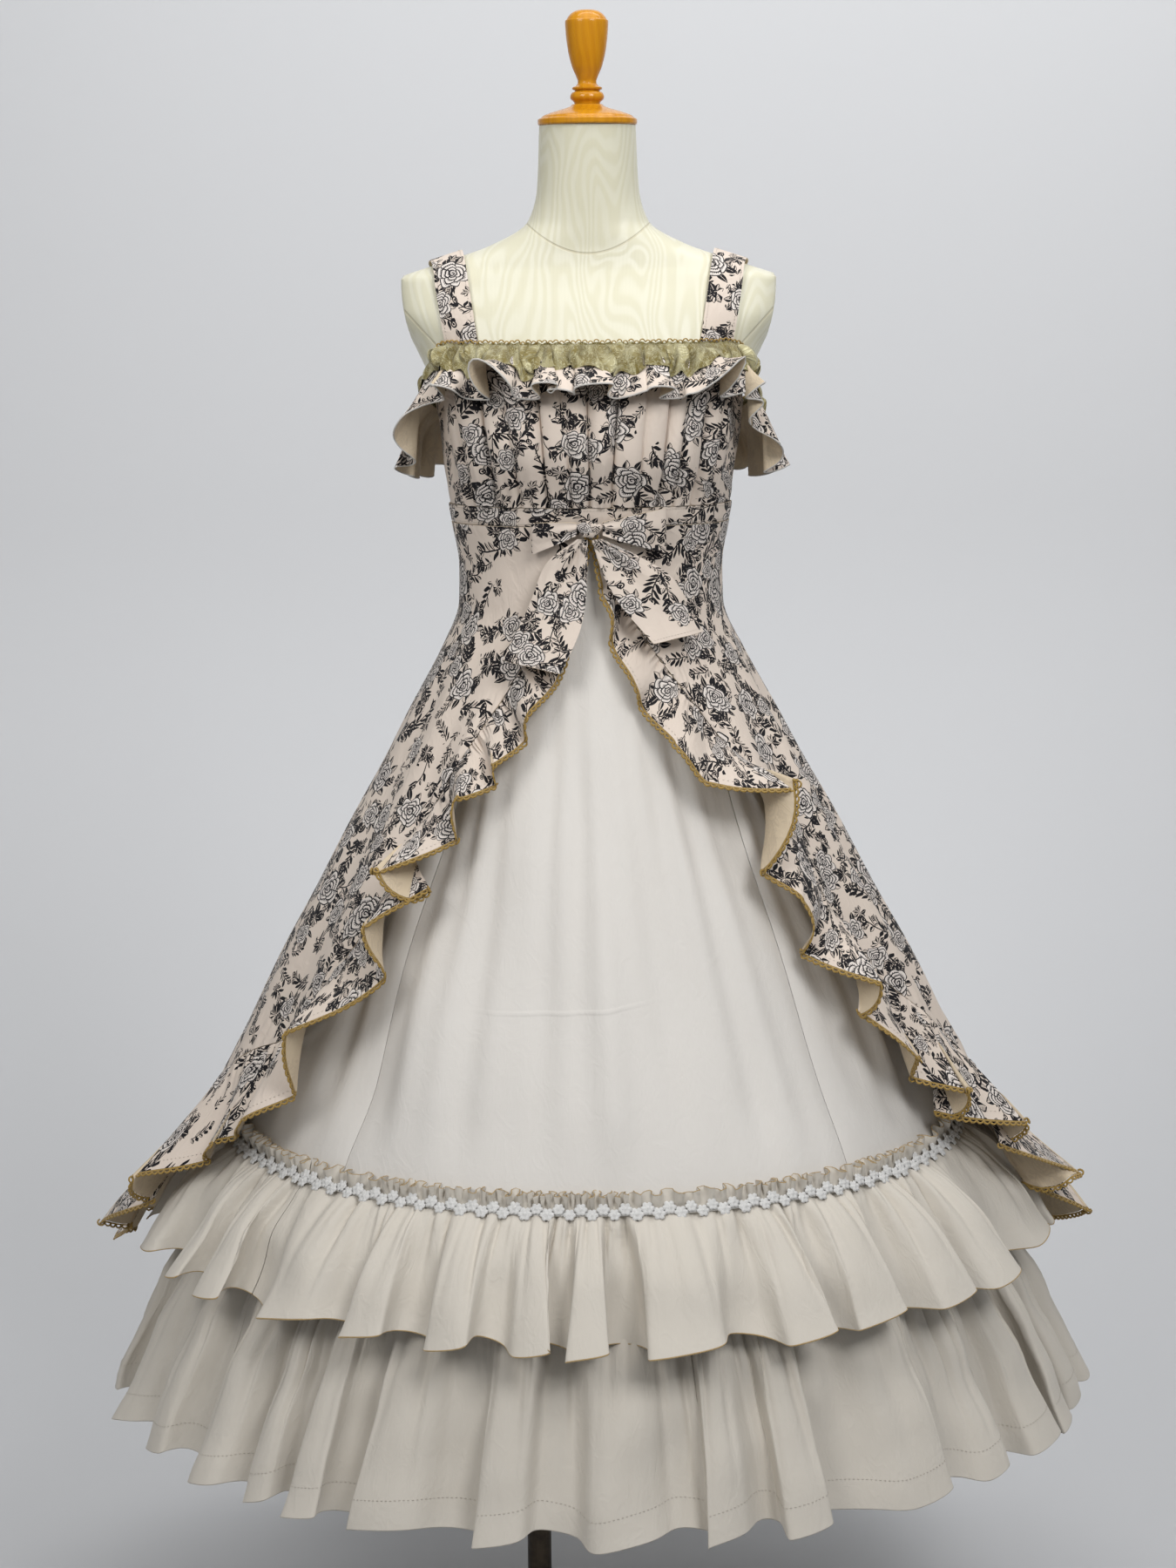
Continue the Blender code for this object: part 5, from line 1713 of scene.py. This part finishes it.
def makeFlounce():
    for title, node, side in (("Left", "left", 1), ("Right", "right", -1)):

        def waves(angle):
            return flounceWaves(angle, side)[0]

        angles = evenly(waves, 2.0, 179.9, flounce["perWave"])
        width = flounce["width"] * curveThrough(overskirtEdge, "flounce", angles, "angle")
        angle, share = np.meshgrid(angles, np.linspace(0, 1, flounce["rows"]))
        seam = 4 * seamGap / width
        points = onFlounce(angle, seam + (1 - seam) * share, side)
        down = np.linspace(0, 1, flounce["rows"])[:, None] * width
        along = lengthsAlong(points, 1)[-1][None, :] + 0 * down
        place = np.stack([along + side * 1.7, -down + 1.5], -1)
        share = np.stack([1 + past / width for past in flounce["braid"]])
        braid = onFlounce(np.tile(angles, (3, 1)), share, side)
        if side < 0:
            points, place, braid = points[:, ::-1], place[:, ::-1], braid[:, ::-1]
        piece = floralPiece("flounce" + title, points, place, "flounce_" + node)
        trim = clothPiece(
            "picotBand" + title, braid, plainPlace(braid, -1), ("goldBraid",), "gold_lace",
            ("picot_trim_" + node,), lift=seamGap, thickness=flounce["braidThickness"],
        )
        out = normals(braid)[-1]
        loops = repeatAlong(
            "picotLoops" + title, braid[1][::-1] - out[::-1] * 0.0005, out[::-1], "picot",
            flounce["picotSpacing"], "goldBraid", flounce["picotSize"], seed=11,
        )
        stitches = stitchLine("flounceStitch" + title, points[-2], normals(points)[-2], 0.0046, 0.85)
        declare(points, ["overskirt_" + node], True)


makeUnderskirt()
makeOverskirt()
makeFlounce()
print("skirts and flounces done")


# tiers round the hem

upperTier = {
    "top": skirts["gatherLine"],
    "hem": 0.505,
    "hemReach": 0.447,
    "waves": 32,
    "depth": 0.0280,
    "flatTop": 0.75,  # how much the folds calm down at the gathering line
    "seed": 0.6,
    "skew": 0.0135,
    "lean": 0.0200,
    "rest": layerStep + 0.0006,  # how far off the underskirt it starts
    "rows": 19,
    "edge": 0.0008,  # the rolled hem's radius
}
lowerTier = {
    "top": skirts["underEnd"] - 3 * seamGap,
    "hem": 0.336,
    "hemReach": 0.478,
    "waves": 33,
    "depth": 0.0310,
    "flatTop": 0.50,
    "seed": 2.3,
    "skew": 0.0145,
    "lean": 0.0225,
    "rest": 0.0,
    "rows": 17,
    "edge": 0.0007,
}
# the small gathers: how many to a fold, how deep, and how far down they run
tierGathers = ((4.3, 0.0095, 1.10), (6.1, 0.0060, 0.55))
tierStrips = (
    ("Front", "front", -52, 52, ["underskirt_front"]),
    ("Left", "left", 52, 128, ["underskirt_side_left"]),
    ("Right", "right", -128, -52, ["underskirt_side_right"]),
    ("Back", "back", 128, 232, ["underskirt_back_left", "underskirt_back_right"]),
)
tierMesh = {"perWave": 42, "headingRows": 4}


def tierPhase(tier, angle):
    turn, seed = np.radians(angle), tier["seed"]
    drift = 1.6 * np.sin(3 * turn + seed) + 1.2 * np.sin(7 * turn + 2 * seed)
    return tier["waves"] * turn + (drift + 0.75 * np.sin(13 * turn + seed))


def onTier(tier, angle, share):
    phase, turn, seed, waves = tierPhase(tier, angle), np.radians(angle), tier["seed"], tier["waves"]
    # crests are broad and valleys narrow, each as high or deep as chance has it
    crest = chance(phase, waves, int(10 * seed) + 1, 0.70, 1.15, 0.0)
    valley = chance(phase, waves, int(10 * seed) + 2, 0.10, 1.55, 0.5)
    sine = np.sin(phase)
    wide = (sine + 0.42) / 1.42
    rounded = np.sqrt(wide**2 + 0.02)
    panel = 0.5 * (wide + rounded)
    wave = crest * (0.45 * panel + 0.55 * np.tanh(2.4 * panel)) + valley * 0.95 * (wide - rounded)
    lean = chance(phase, waves, int(10 * seed) + 3, -1.0, 1.0, 0.5)
    uneven = 0.85 + 0.15 * np.sin(5 * turn + 3 * seed)
    outline = skirts["outline"]
    topReach = curveThrough(outline, "under", tier["top"]) + tier["rest"]
    reach = topReach + (tier["hemReach"] - topReach) * share**0.85
    dip = 0.005 * np.cos(phase) + 0.010 * (valley - 0.8) * bump(sine, -1, 0.9)
    height = tier["top"] + (tier["hem"] - tier["top"]) * share - share * dip
    flat = 1 - tier["flatTop"] * ramp(share, 0.20, 0.02)
    lift = tier["depth"] * uneven * flat * np.abs(share) ** 0.6 * (wave + 0.25 * (1 - share))
    # short gathers that die out, each as long as chance has it
    dying = ramp(share, 0.70 + 0.28 * np.sin(9 * turn + seed), 0.0) * ramp(share, 0, 0.07)
    gathers = 0.0030 * np.sin(3.1 * phase + 1.3 * np.sin(11 * turn)) * dying
    for count, depth, reachDown in tierGathers:
        pinch = (0.5 + 0.5 * np.sin(count * phase + 1.7 * np.sin(9 * turn + count))) ** 4
        pinch = pinch * chance(count * phase, 180, int(10 * count), 0.15, 1.1)
        gathers = gathers - depth * pinch * ramp(share, reachDown, 0) * ramp(share, 0, 0.05)
    soft = 0.0030 * crumple(turn * 0.42, height, 41 + waves, 0.055) * ramp(share, 0.05, 0.5)
    lift = lift + gathers + soft
    if tier["rest"]:  # the gathers stand out from the underskirt and never go through it
        room = reach - curveThrough(outline, "under", np.maximum(height, skirts["underEnd"]))
        lift = np.maximum(lift + 0.0058 * ramp(share, 0, 0.08) * ramp(share, 1.0, 0.3), 0.0012 - room)
    sway = -tier["skew"] * np.sin(2 * phase) * valley * 0.7 + tier["lean"] * lean * sine
    skew = np.degrees(share**0.9 * sway / reach)
    front, back = (curveThrough(outline, name, tier["hem"]) for name in ("frontShare", "backShare"))
    front = front + (curveThrough(outline, "frontShare", tier["top"]) - front) * (1 - share)
    back = back + (curveThrough(outline, "backShare", tier["top"]) - back) * (1 - share)
    return section(angle + skew, height, reach + lift, reach * front + lift, reach * back + lift)


def tierAngles(tier, start, end):
    def phase(angle):
        return tierPhase(tier, angle)

    start, end = trough(phase, start), trough(phase, end)
    if end > 220:
        end = trough(phase, end - 360) + 360
    gap = math.degrees(seamGap / 0.36)
    return evenly(phase, start + gap, end - gap, tierMesh["perWave"])


def headingPoints(angle, above):
    # the ruffled heading that stands above the gathering line
    phase = tierPhase(upperTier, angle)
    wave = np.sin(6.9 * phase + 1.5 * np.sin(1.3 * phase)) + 0.6 * np.sin(3.7 * phase + 1.0)
    ripple = upperTier["rest"] + above * (0.0046 + 0.0044 * wave)
    uneven = 1 + 0.13 * np.sin(5.3 * phase + 2 * np.sin(phase))
    height = skirts["gatherLine"] + (skirts["headingTop"] - skirts["gatherLine"]) * above * uneven
    skew = np.degrees(-0.0022 * above * np.sin(13.8 * phase + 3.0 * np.sin(1.3 * phase)) / 0.37)
    return onSkirt("under", angle + skew, height, ripple)


def tierPiece(name, points, place, node):
    # the tiers are the ivory cotton, but take its copy with painted shade
    return clothPiece(name, points, place, ("tier",), "ivory_cotton", (node,))


def makeTiers():
    for number, (title, node, start, end, carrier) in enumerate(tierStrips):
        angles = tierAngles(upperTier, start, end)
        angle, above = np.meshgrid(angles, np.linspace(1, 0, tierMesh["headingRows"], endpoint=False))
        top = headingPoints(angle, above)
        points = onTier(upperTier, *np.meshgrid(angles, np.linspace(0, 1, upperTier["rows"])))
        points = np.concatenate([top, points])
        place = plainPlace(points, -1, (number * 2.1, 3.0))
        piece = tierPiece("tierUpper" + title, points, place, "tier_upper_" + node)
        edge = edgeRoll("upperHemEdge" + title, points, -1, upperTier["edge"], "hemThread")
        frill = edgeRoll("headingEdge" + title, points, 0, 0.0006, "hemThread")
        flowers = makeLaceFlowers(title, node, angles)
        declare(points, carrier, True)
        angles = tierAngles(lowerTier, start, end)
        points = onTier(lowerTier, *np.meshgrid(angles, np.linspace(0, 1, lowerTier["rows"])))
        place = plainPlace(points, -1, (number * 2.1, 5.0))
        piece = tierPiece("tierLower" + title, points, place, "tier_lower_" + node)
        stitches = stitchLine(
            "lowerHemStitch" + title, points[-3], normals(points)[-3], 0.0042, 0.95
        )
        edge = edgeRoll("lowerHemEdge" + title, points, -1, lowerTier["edge"], "ivoryThread")
        declare(points, carrier, True)


laceTrim = {
    "rows": (0.0015, 0.0, -0.0015),
    "lift": 2 * layerStep + 0.0034,
    "flowerSpacing": 0.0102,
    "flowerSize": 1.14,
    "uneven": 0.16,
    "stagger": 0.0054,
}


def makeLaceFlowers(title, node, around):
    # a narrow white band over the gathers, with the lace flowers to and fro on it
    angles = np.linspace(around[0] + 0.05, around[-1] - 0.05, int((around[-1] - around[0]) * 2.5))
    angle, above = np.meshgrid(angles, laceTrim["rows"])
    bulge = np.where(above > 0, 0.55, 1.35) * np.abs(above)
    points = onSkirt("under", angle, skirts["gatherLine"] + above, laceTrim["lift"] + bulge)
    band = clothPiece(
        "laceBand" + title, points, plainPlace(points, 1), ("whiteLace",), "white_lace",
        ("lace_trim_" + node,), thickness=stripThickness,
    )
    out = normals(points)[1]
    flowers = repeatAlong(
        "laceFlowers" + title, points[1] + out * 0.0016, out, "flower",
        laceTrim["flowerSpacing"], "whiteLace", laceTrim["flowerSize"],
        uneven=laceTrim["uneven"], stagger=laceTrim["stagger"], seed=3,
    )
    return band, flowers


makeTiers()
print("tiers done")


# tied sash

sash = {
    "knot": (-0.001, 1.2185),
    "tails": {
        "Left": columns(
            "share innerX innerZ outerX outerZ lift",
            (0.0, 0.001, 1.2080, 0.011, 1.2090, 0.0078),
            (0.3, 0.011, 1.1760, 0.049, 1.1900, 0.0120),
            (0.6, 0.025, 1.1500, 0.077, 1.1720, 0.0210),
            (1.0, 0.060, 1.1090, 0.110, 1.1170, 0.0330),
        ),
        "Right": columns(
            "share innerX innerZ outerX outerZ lift",
            (0.0, -0.003, 1.2080, -0.013, 1.2090, 0.0078),
            (0.3, -0.004, 1.1620, -0.044, 1.1840, 0.0120),
            (0.6, -0.009, 1.1290, -0.060, 1.1460, 0.0240),
            (1.0, -0.030, 1.0830, -0.086, 1.0940, 0.0340),
        ),
    },
    "loops": {
        "Left": {"side": 1, "reach": 0.062, "fall": 0.05, "spread": 0.0160},
        "Right": {"side": -1, "reach": 0.044, "fall": 0.22, "spread": 0.0095},
    },
    "loopStart": 0.0126,  # how far from the knot's middle a loop begins
    "knotHalf": (0.0116, 0.0058, 0.0086),
}


def onFront(x, height, lift):
    table = skirts["outline"]
    half = curveThrough(table, "over", height)
    front = half * curveThrough(table, "frontShare", height)
    y = -front * np.sqrt(1 - np.clip(x / half, -0.98, 0.98) ** 2) - lift
    return np.stack(np.broadcast_arrays(x, y, height), -1)


def makeTails():
    share, across = np.meshgrid(np.linspace(0, 1, 44), np.linspace(0, 1, 30), indexing="ij")
    for title, tail in sash["tails"].items():
        innerX, innerZ, outerX, outerZ, lift = (
            curveThrough(tail, column, share, "share") for column in tail if column != "share"
        )
        fold = 0.0035 * np.sin(3 * math.pi * across + 0.6) * ramp(share, 0, 0.3) * (1 - 0.6 * share)
        gathers = 0.0012 * np.sin(7 * math.pi * across + 1.0)
        fold = fold + gathers * ramp(share, 0.5, 0.0) * ramp(share, 0, 0.1)
        x = innerX + (outerX - innerX) * across
        points = onFront(x, innerZ + (outerZ - innerZ) * across, lift + fold)
        side = 1 if title == "Left" else -1
        points = points[:, ::side]
        place = plainPlace(points, -1, (6.0 + side * 0.4, 0.3))
        piece = floralPiece("sashTail" + title, points, place, "sash_tail_" + title.lower())
        stitches = stitchLine("tailStitch" + title, points[-2], normals(points)[-2], 0.0034, 0.75)
        declare(points, ["overskirt_" + title.lower()], False)


def makeLoops():
    for title, loop in sash["loops"].items():
        side, start = loop["side"], sash["loopStart"]
        turn = np.linspace(0, np.pi, 61)
        out = start + loop["reach"] * np.sin(turn) ** 0.8
        depth = 0.0018 + 0.0062 * (1 + np.cos(turn)) * (0.40 + 0.60 * np.sin(turn))
        rows = []
        for across in np.linspace(1, -1, 21):
            half = 0.006 + loop["spread"] * np.sin(turn) ** 0.7
            height = sash["knot"][1] - loop["fall"] * (out - start) + half * across
            crease = 0.0011 * np.sin(5 * across + 1.0) * bump(out, start, 0.030) * (turn < 2.2)
            rows.append(onFront(sash["knot"][0] + side * out, height, depth + crease))
        points = np.array(rows)[:, ::side]
        place = plainPlace(points, None, (7.0 + side * 0.5, 0.8))
        piece = floralPiece("sashLoop" + title, points, place, "sash_loop_" + title.lower())
        declare(points, ["overskirt_" + title.lower()], False)


def makeKnot():
    mesh = bpy.data.meshes.new("sashKnot")
    ball = bmesh.new()
    bmesh.ops.create_uvsphere(ball, u_segments=56, v_segments=36, radius=1)
    wide, deep, tall = sash["knotHalf"]
    centre = onFront(np.array(sash["knot"][0]), np.array(sash["knot"][1]), 0.0074)
    layer = ball.loops.layers.uv.new("cloth")
    for face in ball.faces:
        for loop in face.loops:
            p = loop.vert.co
            loop[layer].uv = (8.0 + 0.020 * p.x, 0.4 + 0.020 * p.z)
    for vert in ball.verts:
        x, y, z = vert.co
        pinch = 1 - 0.16 * math.cos(3 * math.atan2(x, z))
        fold = 1 - 0.05 * (1 + math.sin(9 * x + 3.5 * z)) * (1 if y < 0.3 else 0)
        vert.co = Vector(centre) + Vector((wide * x * pinch, deep * y * fold, tall * z * fold))
    ball.to_mesh(mesh)
    ball.free()
    mesh.shade_smooth()
    knot = addPiece("sashKnot", mesh, ("floral",), ("sash_knot",))


makeTails()
makeLoops()
makeKnot()
print("sash done")

for shape in shapes.values():
    bpy.data.objects.remove(shape)
